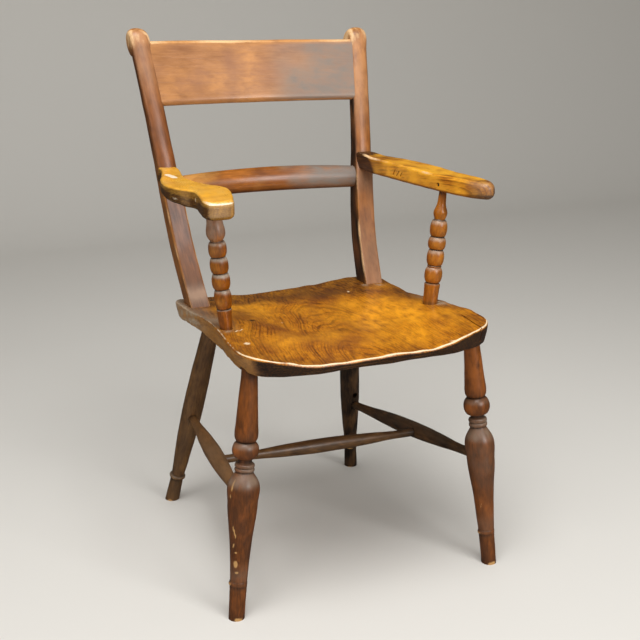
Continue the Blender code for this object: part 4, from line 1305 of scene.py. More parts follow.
    def rail_ends(self, side: Side) -> tuple[Triple, Triple]:
        """Where a side stretcher meets the axes of the front and the back leg."""
        leg = self.fronts[side.index]
        start = self.on_leg(leg.foot, self.front_top, self.front_heights(leg)["vase"], side)
        return start, self.on_leg(self.back_foot, self.back_top, self.rail_back_heights[side.index], side)

    def seat_sockets(self) -> list[Array]:
        """Cutters for the leg sockets in the seat."""
        cutters = []
        for side in Side:
            for kind, wide in (("front", self.front_top_diameter), ("back", self.back_top_diameter)):
                foot, head = self.leg_axis(kind, side)
                cutters.append(bore(head, foot, self.tenon, -self.tenon - FIT_GAP, wide))
        return cutters

    def rail_socket(self, start: Triple, end: Triple, stop: float, diameter: float) -> Array:
        """A cutter for a stretcher's socket, from its stop by the axis at its start out through the wood."""
        return bore(start, end, stop - FIT_GAP, self.rail_diameters[1], diameter * self.rail_flare)

    def build(self, shop: Workshop) -> None:
        """Turns and sets the legs and the stretchers.

        Args:
            shop: Where they are set.
        """
        for side in Side:
            self._leg(shop, "front", side)
            self._leg(shop, "back", side)
        rails = [self.rail_ends(side) for side in Side]
        left, right = (tuple(Vector(end).lerp(Vector(start), self.cross_place)) for start, end in rails)
        self._side_rail(shop, Side.LEFT, left, right)
        self._side_rail(shop, Side.RIGHT, right, left)
        length = span(left, right)
        profile = self.rail_profile(length, self.cross_stop, self.cross_diameters)
        bands = bands_of(Mark.DARK, (0.0, 9.0, 0.34), (length, 0.05, 0.6))
        Turning("cross_stretcher", self.slot, BEECH_DULL, 131, left, right, profile, bands).dress(shop)

    def _leg(self, shop: Workshop, kind: str, side: Side) -> None:
        """Turns a front or a back leg, sawn off at the floor; the right back one keeps an old empty socket.

        Args:
            shop: Where it is set.
            kind: "front" or "back".
            side: Which side it is on.
        """
        foot, head = self.leg_axis(kind, side)
        length = span(foot, head)
        start, end = self.rail_ends(side)
        lumps = []
        if kind == "front":
            finish, seed = BEECH_LEG, 101
            front = self.fronts[side.index]
            profile, bands = self.front_profile(front, length), self.front_bands(front, length)
            lumps = [(self.ankle[0] + self.ring[0] / 2, -math.pi / 2, self.lump)]
        else:
            finish, seed = BEECH_DULL, 111
            profile, bands = self.back_profile(length), self.back_bands(side, length)
            start, end = end, start
        cutters = [self.rail_socket(start, end, self.rail_stop, self.rail_diameters[0])]
        if kind == "back" and side is Side.RIGHT:
            height, wide = self.old_socket
            old = self.on_leg(self.back_foot, self.back_top, height, side)
            cutters.append(bore(old, end, 0.0, self.rail_diameters[1], wide - 2 * FIT_GAP))
        deep, wide = self.floor_cut
        cutters.append(rod((*foot[:2], -deep), (*foot[:2], 0.0), (wide, wide), 8))
        node, seed = f"{kind}_leg_{side.label}", seed + side.index
        turned = (foot, head, profile, bands, self.leg_steps, lumps, cutters)
        Turning(node, self.slot, finish, seed, *turned).dress(shop)

    def back_bands(self, side: Side, length: float) -> list[Band]:
        """A back leg darkened all over, with grime in its grooves and dust and wear on its ring.

        Args:
            side: Which leg.
            length: From the floor to the seat, along the leg.

        Returns:
            The marks.
        """
        ring = self.back_ankle + self.back_ring[0]
        dark = [(0.0, 9.0, self.back_shades[side.index]), (self.back_ankle, 0.0015, 0.8)]
        dark += [(ring, 0.0015, 0.8), (length, 0.04, 0.55)]
        worn = [(ring - 0.004, 0.0018, 0.7, -0.7, 0.7), (0.002, 0.005, 1.0, -0.6, 0.5)]
        bands = bands_of(Mark.DARK, *dark) + bands_of(Mark.DUST, (ring - 0.003, 0.003, 0.7), upper=True)
        return bands + bands_of(Mark.WORN, *worn)

    def _side_rail(self, shop: Workshop, side: Side, near: Triple, far: Triple) -> None:
        """Turns one side stretcher, bored where the cross stretcher meets it.

        Args:
            shop: Where it is set.
            side: Which stretcher.
            near: Where the cross stretcher meets its axis.
            far: The cross stretcher's other end.
        """
        start, end = self.rail_ends(side)
        length = span(start, end)
        shade = self.rail_shades[side.index]
        bands = bands_of(Mark.DARK, (0.0, 9.0, shade), (0.02, 0.012, 0.8), (length - 0.02, 0.015, 0.8))
        bands += bands_of(Mark.DUST, (length * 0.4, 0.12, 0.30), upper=True)
        bands += bands_of(Mark.WARM, (0.0, 9.0, 0.35 - shade))
        profile = self.rail_profile(length, self.rail_stop, self.rail_diameters)
        cutters = [self.rail_socket(near, far, self.cross_stop, self.cross_diameters[0])]
        node, seed = f"side_stretcher_{side.label}", 121 + side.index
        rail = Turning(node, self.slot, BEECH_DULL, seed, start, end, profile, bands, cutters=cutters)
        rail.dress(shop)


@dataclass(frozen=True)
class Back:
    """The two scrolled posts and the two bowed bars between them."""

    seat: SeatBoard
    base: float = 0.1717
    splay: float = math.radians(5.39)
    width: float = 0.0345
    line_heights: Many = (-0.012, 0.080, 0.166, 0.250, 0.335, 0.460)
    fronts: Many = (0.0862, 0.134, 0.163, 0.185, 0.2105, 0.2512)
    depths: Many = (0.044, 0.040, 0.034, 0.0275, 0.0242, 0.0228)
    height: float = 0.458
    scroll: float = 0.021
    scroll_neck: float = 1.25
    scroll_end: float = math.radians(-75.0)
    arm_height: float = 0.228
    plain_round: float = 0.0035
    upper_fullness: float = 0.94
    upper_round: float = 0.0105
    back_round: float = 0.0045
    tenon: Pair = (0.018, 0.024)
    mortise_spare: Pair = (0.006, 0.002)
    wedge_spare: float = FIT_GAP * 8
    top_middle: float = 0.384
    top_size: Pair = (0.1146, 0.017)
    top_round: float = 0.0075
    low_middle: float = 0.1895
    low_size: Pair = (0.040, 0.0165)
    low_arch: float = 0.005
    low_belly: float = 0.85
    bow: float = 0.018
    setback: float = 0.0045
    let_in: float = 0.003
    bar_count: int = 97
    slot: str = "back_wood"

    def front(self, height: Array) -> Array:
        """Y of a post's front line at heights over the seat's rim."""
        return smooth(self.line_heights, self.fronts, height)

    def rear(self, height: Array) -> Array:
        """Y of a post's back line at heights over the seat's rim."""
        return self.front(height) + smooth(self.line_heights, self.depths, height)

    def lean(self, height: float) -> float:
        """Angle of a post's front line from upright."""
        step = 0.002
        rise = self.front(np.array([height - step, height + step]))
        return math.atan2(float(rise[1] - rise[0]), 2 * step)

    def middle(self, height: Array) -> Array:
        """X of the right post's middle at heights over the seat's rim."""
        return self.base + np.asarray(height) * math.tan(self.splay)

    def rounds(self, height: Array) -> tuple[Array, Array]:
        """How far a post's front is rounded, across and in depth, at heights over the seat's rim.

        Args:
            height: The heights.

        Returns:
            Both distances.
        """
        share = ramp(self.arm_height - 0.034, self.arm_height - 0.006, height)
        wide = self.width / 2 * self.upper_fullness
        across = self.plain_round + (wide - self.plain_round) * share
        depth = self.plain_round + (self.upper_round - self.plain_round) * share
        return across, depth

    def half_width(self, height: Array, depth: Array) -> Array:
        """Half a post's width at heights over the seat's rim and depths behind its front line."""
        across, deep = self.rounds(height)
        t = np.clip(1.0 - np.asarray(depth) / deep, 0.0, 1.0)
        return self.width / 2 - across + across * np.sqrt(1.0 - t**2)

    def stations(self) -> tuple[Array, Array, Array]:
        """Pairs of front and back points up a post and round its scroll.

        Returns:
            Front points, back points, both as (y, height), and the height that each pair is shaped by.
        """
        middle = self.height - self.scroll
        lean = self.lean(middle)
        tangent = middle + self.scroll * math.sin(lean)
        centre = float(self.front(tangent)) + self.scroll * math.cos(lean)
        foot = FIT_GAP - self.seat.back_fall - self.let_in
        neck = middle - self.scroll * self.scroll_neck
        low = np.linspace(foot, neck, 120)
        rising = np.concatenate([low, np.linspace(neck, tangent, 12)[1:]])
        turns = np.linspace(math.pi - lean, self.scroll_end, 40)[1:]
        pin = np.array((float(self.rear(neck)), neck))
        curl = np.stack([centre + self.scroll * np.cos(turns), middle + self.scroll * np.sin(turns)], axis=1)
        end = [curl[-1] + (pin - curl[-1]) * t for t in (0.5, 1.0)]
        fronts = np.concatenate([np.stack([self.front(rising), rising], axis=1), curl, end])
        backs = np.stack([self.rear(low), low], axis=1)
        backs = np.concatenate([backs, np.tile(pin, (len(fronts) - len(backs), 1))])
        return fronts, backs, np.minimum(fronts[:, 1], tangent)

    def section(self, depth: float, across: float, deep: float, grow: float) -> Array:
        """One ring of a post.

        Args:
            depth: From its front to its back.
            across: How far its front is rounded across.
            deep: How far its front is rounded in depth.
            grow: How much larger it is all round.

        Returns:
            Points as (across, behind the front).
        """
        half = self.width / 2 + grow
        across, deep = across + grow, min(deep + grow, depth * 0.45 + grow)
        rear = min(self.back_round, depth * 0.45)
        quarter = np.linspace(0.0, math.pi / 2, 10)
        small = np.linspace(0.0, math.pi / 2, 5)
        flat = half - across
        ring = [(-flat - across * math.cos(a), deep * (1 - math.sin(a)) - grow) for a in quarter]
        ring += [(flat * t, -grow) for t in (-0.5, 0.0, 0.5)]
        ring += [(flat + across * math.sin(a), deep * (1 - math.cos(a)) - grow) for a in quarter]
        start, end = deep - grow, depth - rear + grow
        ring += [(half, start + (end - start) * t) for t in (0.25, 0.5, 0.75)]
        ring += [(half - rear * (1 - math.cos(a)), end + rear * math.sin(a)) for a in small]
        ring += [((half - rear) * t, depth + grow) for t in (0.5, 0.0, -0.5)]
        ring += [(-half + rear * (1 - math.sin(a)), end + rear * math.cos(a)) for a in small]
        ring += [(-half, start + (end - start) * t) for t in (0.75, 0.5, 0.25)]
        return np.array(ring)

    def post_rows(self, side: Side, grow: float = 0.0) -> Array:
        """Rows of a post's skin.

        Args:
            side: Which post.
            grow: How much larger it is all round, to scribe an arm to it.

        Returns:
            Points as (row, place round the row, 3).
        """
        rows = []
        for front, back, height in zip(*self.stations()):
            depth = float(np.hypot(*(back - front)))
            way = (back - front) / depth if depth > 1e-6 else np.zeros(2)
            across, deep = self.rounds(height)
            ring = self.section(depth, float(across), float(deep), grow)
            place = front[None, :] + ring[:, 1:2] * way[None, :]
            x = side.value * self.middle(place[:, 1]) + ring[:, 0]
            rows.append(np.stack([x, place[:, 0], self.seat.top + place[:, 1]], axis=1))
        made = np.stack(rows)
        made[0, :, 2] -= grow
        return made

    def tenon_rows(self, side: Side, low: float, high: float, grow: float) -> Array:
        """Rows of a post's straight tenon through the seat.

        Args:
            side: Which post.
            low: Height over the floor where it starts.
            high: Height over the floor where it ends.
            grow: How much larger it is all round, for its mortise.

        Returns:
            Points as (row, place round the row, 3).
        """
        foot = -self.seat.back_fall
        slope = math.tan(self.lean(foot))
        centre = float((self.front(foot) + self.rear(foot)) / 2)
        wide, deep = (v / 2 + grow for v in self.tenon)
        rows = []
        for height in (low, high):
            rise = height - self.seat.top
            x = side.value * float(self.middle(rise))
            y = centre + (rise - foot) * slope
            corners = ((-wide, -deep), (wide, -deep), (wide, deep), (-wide, deep))
            rows.append([(x + a, y + b, height) for a, b in corners])
        return np.array(rows)

    def seat_mortises(self) -> list[Array]:
        """Cutters for the posts' mortises in the seat, and for the shallow beds under their feet."""
        cutters = []
        low, high = self.seat.height - self.mortise_spare[0], self.seat.top - self.mortise_spare[1]
        for side in Side:
            cutters += [self.tenon_rows(side, low, high, FIT_GAP), self.post_rows(side, FIT_GAP)]
        return cutters

    def post_shape(self, side: Side, shift: Vector) -> Mesh:
        """A post with its tenon, split for the wedge that holds it in the seat.

        Args:
            side: Which post.
            shift: Where the frame has the maker's own origin.

        Returns:
            The post.
        """
        mesh = mesh_of_rows(f"back_post_{side.label}_sawn", self.post_rows(side))
        points = points_of(mesh)
        uneven = ripple(points, 201 + side.index, 0.05) * ramp(0.03, 0.08, points[:, 2] - self.seat.top)
        push_out(mesh, uneven * 0.00025)
        start = self.seat.top - self.seat.back_fall
        tenon = self.tenon_rows(side, self.seat.height + 0.0002, start + 0.004, 0.0)
        whole = combined(mesh, [tenon], "UNION")
        low, high = (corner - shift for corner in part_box(f"post_wedge_{side.label}"))
        near, far = low.y - self.wedge_spare, high.y + self.wedge_spare
        left, right = low.x - FIT_GAP, high.x + FIT_GAP
        plan = ((left, near), (right, near), (right, far), (left, far))
        kerf = [[(x, y, z) for x, y in plan] for z in (self.seat.height - 0.003, high.z + FIT_GAP)]
        return combined(whole, [np.array(kerf)])

    def paint_post(self, side: Side, points: Array, normals: Array) -> Paint:
        """Grain up the post, a rubbed golden scroll, dark sides, painted shade on its back, a painted sheen
        up the left one's rounded front, and bloom with a painted sheen low on its front.

        Args:
            side: Which post.
            points: The post's points.
            normals: Its normals there.

        Returns:
            The post's paint.
        """
        x, y, z = points.T
        seed = 211 + side.index
        height = z - self.seat.top
        across = x - side.value * self.middle(height)
        edge = self.width / 2 - np.abs(across)
        depth = y - self.front(np.clip(height, -0.012, 0.46))
        heart = (across * 0.9 + 0.035 + 0.03 * height, depth + 0.022 + 0.05 * height)
        uneven = ripple(points, seed, 0.05)
        facing = -normals[:, 1]
        ahead, flank = ramp(0.3, 0.9, facing), ramp(0.55, 0.92, np.abs(normals[:, 0]))
        upper = ramp(self.arm_height - 0.03, self.arm_height + 0.03, height)
        arris = ramp(0.004, 0.0, edge) * ramp(0.012, 0.002, depth) * (1.0 - upper)
        tip = ramp(0.405, 0.450, height + 0.006 * uneven)
        warm = [0.85 * tip, 0.8 * arris]
        dark = [0.35 * bell(self.arm_height - 0.012, 0.018, height), 0.12 + 0.14 * uneven]
        # Painted shade on the faces turned away from the front
        dark.append(0.40 * ramp(0.3, -0.4, facing) * (1.0 - flank))
        if side is Side.LEFT:
            shade = 0.20 + 0.24 * upper
            # crown: a painted sheen up the left post's rounded front above the arm
            crown = ramp(0.30, 0.42, height) * ramp(0.2, 0.8, facing)
            warm += [0.35 * flank * (1.0 - upper), 0.34 * crown]
            dark.append((0.26 * (1.0 - upper) + 0.30 * bell(0.014, 0.016, height)) * ahead)
            # Bloom with a painted sheen low on the front, a grey patch of dirt at the foot, and the painted
            # sheen up the crown
            dust = (0.10 * ramp(0.20, 0.02, height) + 0.9 * bell(0.012, 0.012, height)) * ahead + 0.26 * crown
        else:
            shade = 0.85
            high = ramp(0.25, 0.36, height)
            warm += [0.8 * high, 0.30 * ahead]
            # A painted reflection across the front under the arm, and bloom with a painted sheen low on the
            # front
            bloom = 0.45 * bell(self.arm_height - 0.045, 0.028, height)
            dust = (0.28 * ramp(0.15, 0.02, height) + bloom + 0.25 * high) * ahead
        dark.append(shade * flank * (1.0 + 0.3 * uneven) * (1.0 - 0.9 * tip))
        streak = ripple(points * np.array((1.0, 0.4, 0.3)), seed + 5, 0.007)
        worn = 0.62 * arris * (0.7 + 0.5 * uneven) + 0.36 * tip * ramp(0.007, 0.002, edge)
        worn += tip * np.clip(0.40 + 0.24 * streak, 0.0, 0.7)
        grain = np.stack([*heart, height + seed], axis=1)
        return Paint(grain, np.maximum.reduce(warm), np.maximum.reduce(dark), worn, dust)

    def bar_rows(self, middle: float, section: Array) -> Array:
        """Rows of a bowed bar, its ends shaped to the posts.

        Args:
            middle: Its height over the seat's rim.
            section: Its ring at each row, as (row, place, depth and height).

        Returns:
            Points as (row, place round the row, 3).
        """
        lean = self.lean(middle)
        base = float(self.front(middle)) + self.setback
        made = []
        for share, ring in zip(np.linspace(-1.0, 1.0, self.bar_count), section):
            depth, rise = ring.T
            straight = base + depth * math.cos(lean) + rise * math.sin(lean)
            height = middle - depth * math.sin(lean) + rise * math.cos(lean)
            behind = (straight - self.front(height)) * math.cos(lean)
            end = self.middle(height) - self.half_width(height, behind) - FIT_GAP
            y = straight + self.bow * (1 - share**2)
            made.append(np.stack([share * end, y, self.seat.top + height], axis=1))
        return np.stack(made)

    def top_section(self) -> Array:
        """The upper bar's ring at each row: a board with rounded edges."""
        high, thick = self.top_size
        half, small = high / 2 - self.top_round, self.top_round
        ring = []
        far = thick - small
        corners = ((small, -half, 180.0), (far, -half, 270.0), (far, half, 0.0), (small, half, 90.0))
        spans = (6, 22, 6, 22)
        for i, (depth, rise, start) in enumerate(corners):
            for turn in np.linspace(0.0, 90.0, 7):
                angle = math.radians(start + turn)
                ring.append((depth + small * math.cos(angle), rise + small * math.sin(angle)))
            after = corners[(i + 1) % 4]
            angle = math.radians(start + 90.0)
            first = np.array(ring[-1])
            last = np.array((after[0] + small * math.cos(angle), after[1] + small * math.sin(angle)))
            ring += [tuple(first + (last - first) * t) for t in np.linspace(0.0, 1.0, spans[i])[1:-1]]
        return np.repeat(np.array(ring)[None], self.bar_count, axis=0)

    def low_section(self) -> Array:
        """The lower bar's ring at each row: round in front, flat behind, arched along its top."""
        made = []
        high, thick = self.low_size
        for share in np.linspace(-1.0, 1.0, self.bar_count):
            top, bottom = high / 2 + self.low_arch * (1 - share**2), -high / 2
            centre, half = (top + bottom) / 2, (top - bottom) / 2
            belly = thick * self.low_belly
            turns = np.linspace(-math.pi / 2, math.pi / 2, 33)
            front = [(belly * (1 - math.cos(a)), centre + half * math.sin(a)) for a in turns]
            edge = half * 0.12
            backs = [(thick, top - edge - (top - bottom - 2 * edge) * t) for t in np.linspace(0.0, 1.0, 12)]
            made.append([*front, *backs])
        return np.array(made)

    def bar_grain(self, points: Array, rise: Array, seed: float) -> Array:
        """Places in a bar's board, as if it were straight, so that its grain follows its bow."""
        x, y, _ = points.T
        depth = y - y.mean() - self.bow * (1.0 - (x / np.abs(x).max()) ** 2)
        return np.stack([rise + 0.05 + 0.02 * x, depth + 0.09 + 0.02 * x, x + seed], axis=1)

    def paint_top(self, points: Array, normals: Array) -> Paint:
        """The upper bar's paint: gold and pink clouds, a painted highlight along its top edge, painted
        reflections as a gold band and an orange lower edge, grey bloom with a painted reflection over its
        right end, and painted shade on its back.

        Args:
            points: The bar's points.
            normals: Its normals there.

        Returns:
            The bar's paint.
        """
        x, rise = points[:, 0], points[:, 2] - self.seat.top - self.top_middle
        uneven = ripple(points, 221, 0.09)
        # upper: a painted highlight along the top edge; under: a painted reflection along the lower edge
        upper, under = ramp(0.30, 0.44, normals[:, 2]), ramp(-0.3, -0.8, normals[:, 2])
        # A painted reflection: a gold band down the bar
        streak = 0.55 * bell(-0.012 + 0.1 * rise, 0.030, x + 0.006 * uneven)
        cloud = 0.55 * bell(-0.075, 0.035, x) * bell(-0.015, 0.03, rise)
        warm = np.maximum.reduce([streak, cloud, 0.9 * under, upper, 0.15 + 0.3 * uneven])
        # Grey bloom over the right end, partly a painted reflection
        spared = bell(0.085, 0.030, x) * bell(0.020, 0.022, rise)
        bloom = 0.85 * ramp(0.015, 0.10, x + 0.02 * uneven) * (1.0 - 0.7 * spared)
        # Painted shade on the back face, and the pale painted highlight along the top edge
        dark = 0.45 * ramp(0.2, 0.7, normals[:, 1])
        worn = 0.60 * upper * (0.9 + 0.4 * uneven) * ramp(0.5, -0.2, normals[:, 1])
        grain = self.bar_grain(points, rise, 221.0)
        return Paint(grain, warm, dark, worn, bloom * (1.0 - upper) * (1.0 - under))

    def paint_low(self, points: Array, normals: Array) -> Paint:
        """The lower bar's paint: orange and brown clouds, pink at its left end, grey bloom with a painted
        reflection at its right, and painted shade on its back and underside.

        Args:
            points: The bar's points.
            normals: Its normals there.

        Returns:
            The bar's paint.
        """
        x, rise = points[:, 0], points[:, 2] - self.seat.top - self.low_middle
        uneven = ripple(points, 231, 0.05)
        pink = 0.8 * ramp(-0.09, -0.15, x) * ramp(-0.01, 0.01, rise)
        ends = ramp(0.018, 0.002, self.middle(rise + self.low_middle) - self.width / 2 - np.abs(x))
        # behind and low: painted shade on the back face and the underside
        behind, low = ramp(0.2, 0.7, normals[:, 1]), ramp(0.0, -0.7, normals[:, 2])
        dark = np.maximum.reduce([0.5 * ends, 0.45 * behind, 0.45 * low, 0.25 * uneven])
        # Grey bloom towards the right end, partly a painted reflection
        dust = 0.90 * ramp(0.02, 0.09, x + 0.02 * uneven) * (1.0 - 0.6 * low)
        return Paint(self.bar_grain(points, rise, 231.0), pink + 0.3 * uneven, dark, 0.0, dust)

    def build(self, shop: Workshop) -> None:
        """Makes and sets the posts and the bars.

        Args:
            shop: Where they are set.
        """
        for side in Side:
            mesh, brush = self.post_shape(side, shop.shift), partial(self.paint_post, side)
            shop.set_piece(mesh, brush, BEECH_BACK, f"back_post_{side.label}")
        bars = (
            ("top_bar", self.top_middle, self.top_section(), self.paint_top, BEECH_TOP_BAR),
            ("lower_bar", self.low_middle, self.low_section(), self.paint_low, BEECH_LOW_BAR),
        )
        for node, middle, section, brush, finish in bars:
            mesh = mesh_of_rows(f"{node}_bowed", self.bar_rows(middle, section))
            push_out(mesh, ripple(points_of(mesh), len(node), 0.08) * 0.0003)
            shop.set_piece(mesh, brush, finish, node)


@dataclass(frozen=True)
class ArmPlan:
    """One arm's own plan and section: the two arms were sawn and worn differently.

    Distances across are from the chair's middle, at places from the tip back to the post.
    """

    outer_places: Many
    outer: Many
    inner_places: Many
    inner: Many
    tip: float
    nose: float
    nose_power: float
    top: float
    fall: float
    block_rise: float
    thickness: Pair
    edge_round: float
    nose_round: float
    chamfer: Pair


@dataclass(frozen=True)
class SupportTurning:
    """One support's own turning, from the seat up."""

    foot_length: float
    foot_diameters: Pair
    bead_lengths: Many
    bead_diameters: Many
    ring: float
    top_rises: Pair
    top_diameters: Pair
    neck_diameter: float


LEFT_ARM = ArmPlan(
    outer_places=(-0.190, -0.159, -0.112, -0.066, -0.041, -0.005, 0.053, 0.112, 0.175, 0.192),
    outer=(0.250, 0.246, 0.236, 0.232, 0.244, 0.252, 0.245, 0.226, 0.209, 0.209),
    inner_places=(-0.190, -0.157, -0.121, -0.077, -0.050, -0.021, 0.003, 0.025, 0.051, 0.179, 0.192),
    inner=(0.206, 0.197, 0.185, 0.174, 0.173, 0.185, 0.192, 0.197, 0.198, 0.1777, 0.1777),
    tip=-0.1855, nose=0.028, nose_power=3.0, top=0.6485, fall=0.0, block_rise=0.003,
    thickness=(0.0285, 0.0255), edge_round=0.0040, nose_round=0.0075, chamfer=(0.016, 0.011),
)
RIGHT_ARM = ArmPlan(
    outer_places=(-0.195, -0.169, -0.130, -0.085, 0.000, 0.060, 0.120, 0.175, 0.192),
    outer=(0.249, 0.248, 0.246, 0.242, 0.246, 0.240, 0.226, 0.209, 0.209),
    inner_places=(-0.195, -0.169, -0.128, -0.085, -0.020, 0.060, 0.120, 0.179, 0.192),
    inner=(0.216, 0.210, 0.199, 0.192, 0.188, 0.187, 0.184, 0.1777, 0.1777),
    tip=-0.1920, nose=0.030, nose_power=2.2, top=0.655, fall=math.radians(1.1), block_rise=0.004,
    thickness=(0.0288, 0.0308), edge_round=0.0060, nose_round=0.0125, chamfer=(0.008, 0.006),
)
LEFT_SUPPORT = SupportTurning(
    foot_length=0.034, foot_diameters=(0.0202, 0.0241),
    bead_lengths=(0.0318, 0.0264, 0.0264, 0.0250), bead_diameters=(0.0280, 0.0290, 0.0293, 0.0291),
    ring=0.0, top_rises=(0.007, 0.032), top_diameters=(0.0264, 0.0252), neck_diameter=0.0240,
)
RIGHT_SUPPORT = SupportTurning(
    foot_length=0.0367, foot_diameters=(0.0250, 0.0275),
    bead_lengths=(0.0275, 0.0278, 0.0222, 0.0288), bead_diameters=(0.0309, 0.0294, 0.0305, 0.0296),
    ring=0.003, top_rises=(0.011, 0.027), top_diameters=(0.0234, 0.0152), neck_diameter=0.0125,
)


@dataclass(frozen=True)
class Arms:
    """The shaped arms, scribed to the posts, and the bobbin-turned supports under them.

    A check in the right arm is given by where it starts and ends, along the arm and in height.
    """

    seat: SeatBoard
    back: Back
    plans: tuple[ArmPlan, ArmPlan] = (LEFT_ARM, RIGHT_ARM)
    turnings: tuple[SupportTurning, SupportTurning] = (LEFT_SUPPORT, RIGHT_SUPPORT)
    support_base: Pair = (0.1874, -0.0843)
    support_top: Pair = (0.2050, -0.0870)
    bead_groove: float = 0.0200
    ring_rise: float = 0.0022
    top_groove: float = 0.0175
    tenon: float = 0.017
    straight: float = 0.003
    block_length: float = 0.030
    checks: tuple[tuple[float, float, float, float], ...] = (
        (0.049, 0.057, 0.642, 0.631), (0.035, 0.044, 0.641, 0.630), (0.0235, 0.0310, 0.640, 0.631)
    )
    check_size: Pair = (0.0012, 0.008)
    pin_place: Triple = (0.1930, -0.0905, 0.6330)
    pin_diameter: float = 0.0042
    pin_length: float = 0.0052
    pin_dome: Pair = (0.0004, 0.0009)
    pin_sink: Pair = (0.0070, 0.0012)
    pin_steps: int = 24
    stations: int = 190
    across: int = 44

    @property
    def post_y(self) -> float:
        """Y of the posts' fronts where the arms meet them."""
        return float(self.back.front(self.back.arm_height))

    def top(self, plan: ArmPlan, y: Array) -> Array:
        """Height of an arm's top over the floor, from its tip to its post."""
        away = self.post_y - np.asarray(y, float)
        block = plan.block_rise * ramp(self.block_length * 1.6, self.block_length * 0.35, away)
        return plan.top - away * math.tan(plan.fall) + block

    def thick(self, plan: ArmPlan, y: Array) -> Array:
        """Thickness of an arm, from its tip to its post."""
        thin, full = plan.thickness
        return thin + (full - thin) * ramp(0.25, 0.05, self.post_y - np.asarray(y, float))

    def edges(self, plan: ArmPlan) -> tuple[Array, Array, Array]:
        """Places along an arm, with its inner and outer edge there, which the nose closes in.

        Args:
            plan: Which arm.

        Returns:
            The places, the inner edge and the outer edge.
        """
        start = plan.tip + plan.nose
        turns = np.linspace(0.0, math.radians(87.0), 46)
        nose = start - plan.nose * np.sin(turns) ** (2.0 / plan.nose_power)
        y = np.concatenate([np.linspace(plan.outer_places[-1], start, self.stations)[:-1], nose])
        inner = smooth(plan.inner_places, plan.inner, y)
        outer = smooth(plan.outer_places, plan.outer, y)
        close = np.concatenate([np.ones(self.stations - 1), np.cos(turns) ** (2.0 / plan.nose_power)])
        middle, half = (inner + outer) / 2, (outer - inner) / 2 * close
        return y, middle - half, middle + half

    def blank(self, plan: ArmPlan) -> Array:
        """Rows of an arm's skin, on the right side of the chair.

        Args:
            plan: Which arm.

        Returns:
            Points as (row, place round the row, 3).
        """
        y, inner, outer = self.edges(plan)
        rim = np.concatenate([np.stack([inner, y], axis=1), np.stack([outer, y], axis=1)[::-1]])
        share = (1.0 - np.cos(np.linspace(0.0, math.pi, self.across))) / 2
        x = inner[:, None] + (outer - inner)[:, None] * share[None, :]
        deep_y = np.repeat(y[:, None], self.across, axis=1)
        places = np.stack([x, deep_y], axis=2).reshape(-1, 2)
        near = np.full(len(places), 1.0)
        for first, way in zip(rim[:-1], np.diff(rim, axis=0)):
            along = np.clip((places - first) @ way / max(way @ way, 1e-12), 0.0, 1.0)
            near = np.minimum(near, np.linalg.norm(places - first - along[:, None] * way, axis=1))
        near = near.reshape(x.shape)
        elbow = ramp(-0.06, -0.02, y) * ramp(0.13, 0.09, y)
        blunt = ramp(0.050, 0.005, y - plan.tip)
        plain = (plan.edge_round + (plan.nose_round - plan.edge_round) * blunt)[:, None]
        outside = elbow[:, None] * ramp(0.35, 0.65, share)[None]
        wide, deep = (plain + (size - plain) * outside for size in plan.chamfer)
        upper = self.top(plan, y)[:, None] - plain * self._roll(near / plain)
        lower = (self.top(plan, y) - self.thick(plan, y))[:, None] + deep * self._roll(near / wide)
        walls = np.linspace(0.0, 1.0, 9)[1:-1]
        sides = []
        for edge, steps in ((self.across - 1, walls), (0, walls[::-1])):
            drop = upper[:, edge, None] + (lower[:, edge] - upper[:, edge])[:, None] * steps[None, :]
            plain_x, plain_y = (np.repeat(v[:, None], len(steps), axis=1) for v in (x[:, edge], y))
            sides.append(np.stack([plain_x, plain_y, drop], axis=2))
        over, under = (np.stack([x, deep_y, z], axis=2) for z in (upper, lower))
        return np.concatenate([over, sides[0], under[:, ::-1], sides[1]], axis=1)

    def _roll(self, share: Array) -> Array:
        """How far a rounded edge falls away, by the distance from it as a share of its width."""
        return 1.0 - np.sqrt(1.0 - np.clip(1.0 - share, 0.0, 1.0) ** 2)

    def shape(self, side: Side) -> Mesh:
        """An arm scribed to its post, bored for its support, with its checks and its sunk pin.

        Args:
            side: Which arm.

        Returns:
            The arm.
        """
        plan = self.plans[side.index]
        rows = self.blank(plan) * np.array((side.value, 1.0, 1.0))
        mesh = mesh_of_rows(f"arm_{side.label}_shaped", rows)
        push_out(mesh, ripple(points_of(mesh), 301 + side.index, 0.05) * 0.0004)
        foot, head = self.support_axis(side)
        neck = self.turnings[side.index].neck_diameter
        socket = bore(head, foot, self.tenon, -self.tenon - FIT_GAP, neck)
        cutters = [self.back.post_rows(side, FIT_GAP), socket]
        if side is Side.RIGHT:
            cutters += self.check_slits(plan) + self.pin_bores()
        return combined(mesh, cutters)

    def check_slits(self, plan: ArmPlan) -> list[Array]:
        """Cutters for the short drying checks in the right arm's inner face.

        Args:
            plan: The right arm's plan.

        Returns:
            Rows of each cutter.
        """
        cutters = []
        for near, far, high, low in self.checks:
            y = np.linspace(near, far, 4)
            x = smooth(plan.inner_places, plan.inner, y)
            line = np.stack([x, y, np.linspace(high, low, 4)], axis=1)
            cutters.append(slit(line, (1.0, 0.0, 0.0), *self.check_size))
        return cutters

    def pin_bores(self) -> list[Array]:
        """Cutters for the pin's hole and for the wider sink at its mouth."""
        x, y, z = self.pin_place
        wide, deep = self.pin_sink
        sink = rod((x - 0.004, y, z), (x + deep, y, z), (wide / 2,) * 2, self.pin_steps)
        end = x + self.pin_length + FIT_GAP
        hole = rod((x, y, z), (end, y, z), (self.pin_diameter / 2 + FIT_GAP,) * 2, self.pin_steps)
        return [sink, hole]

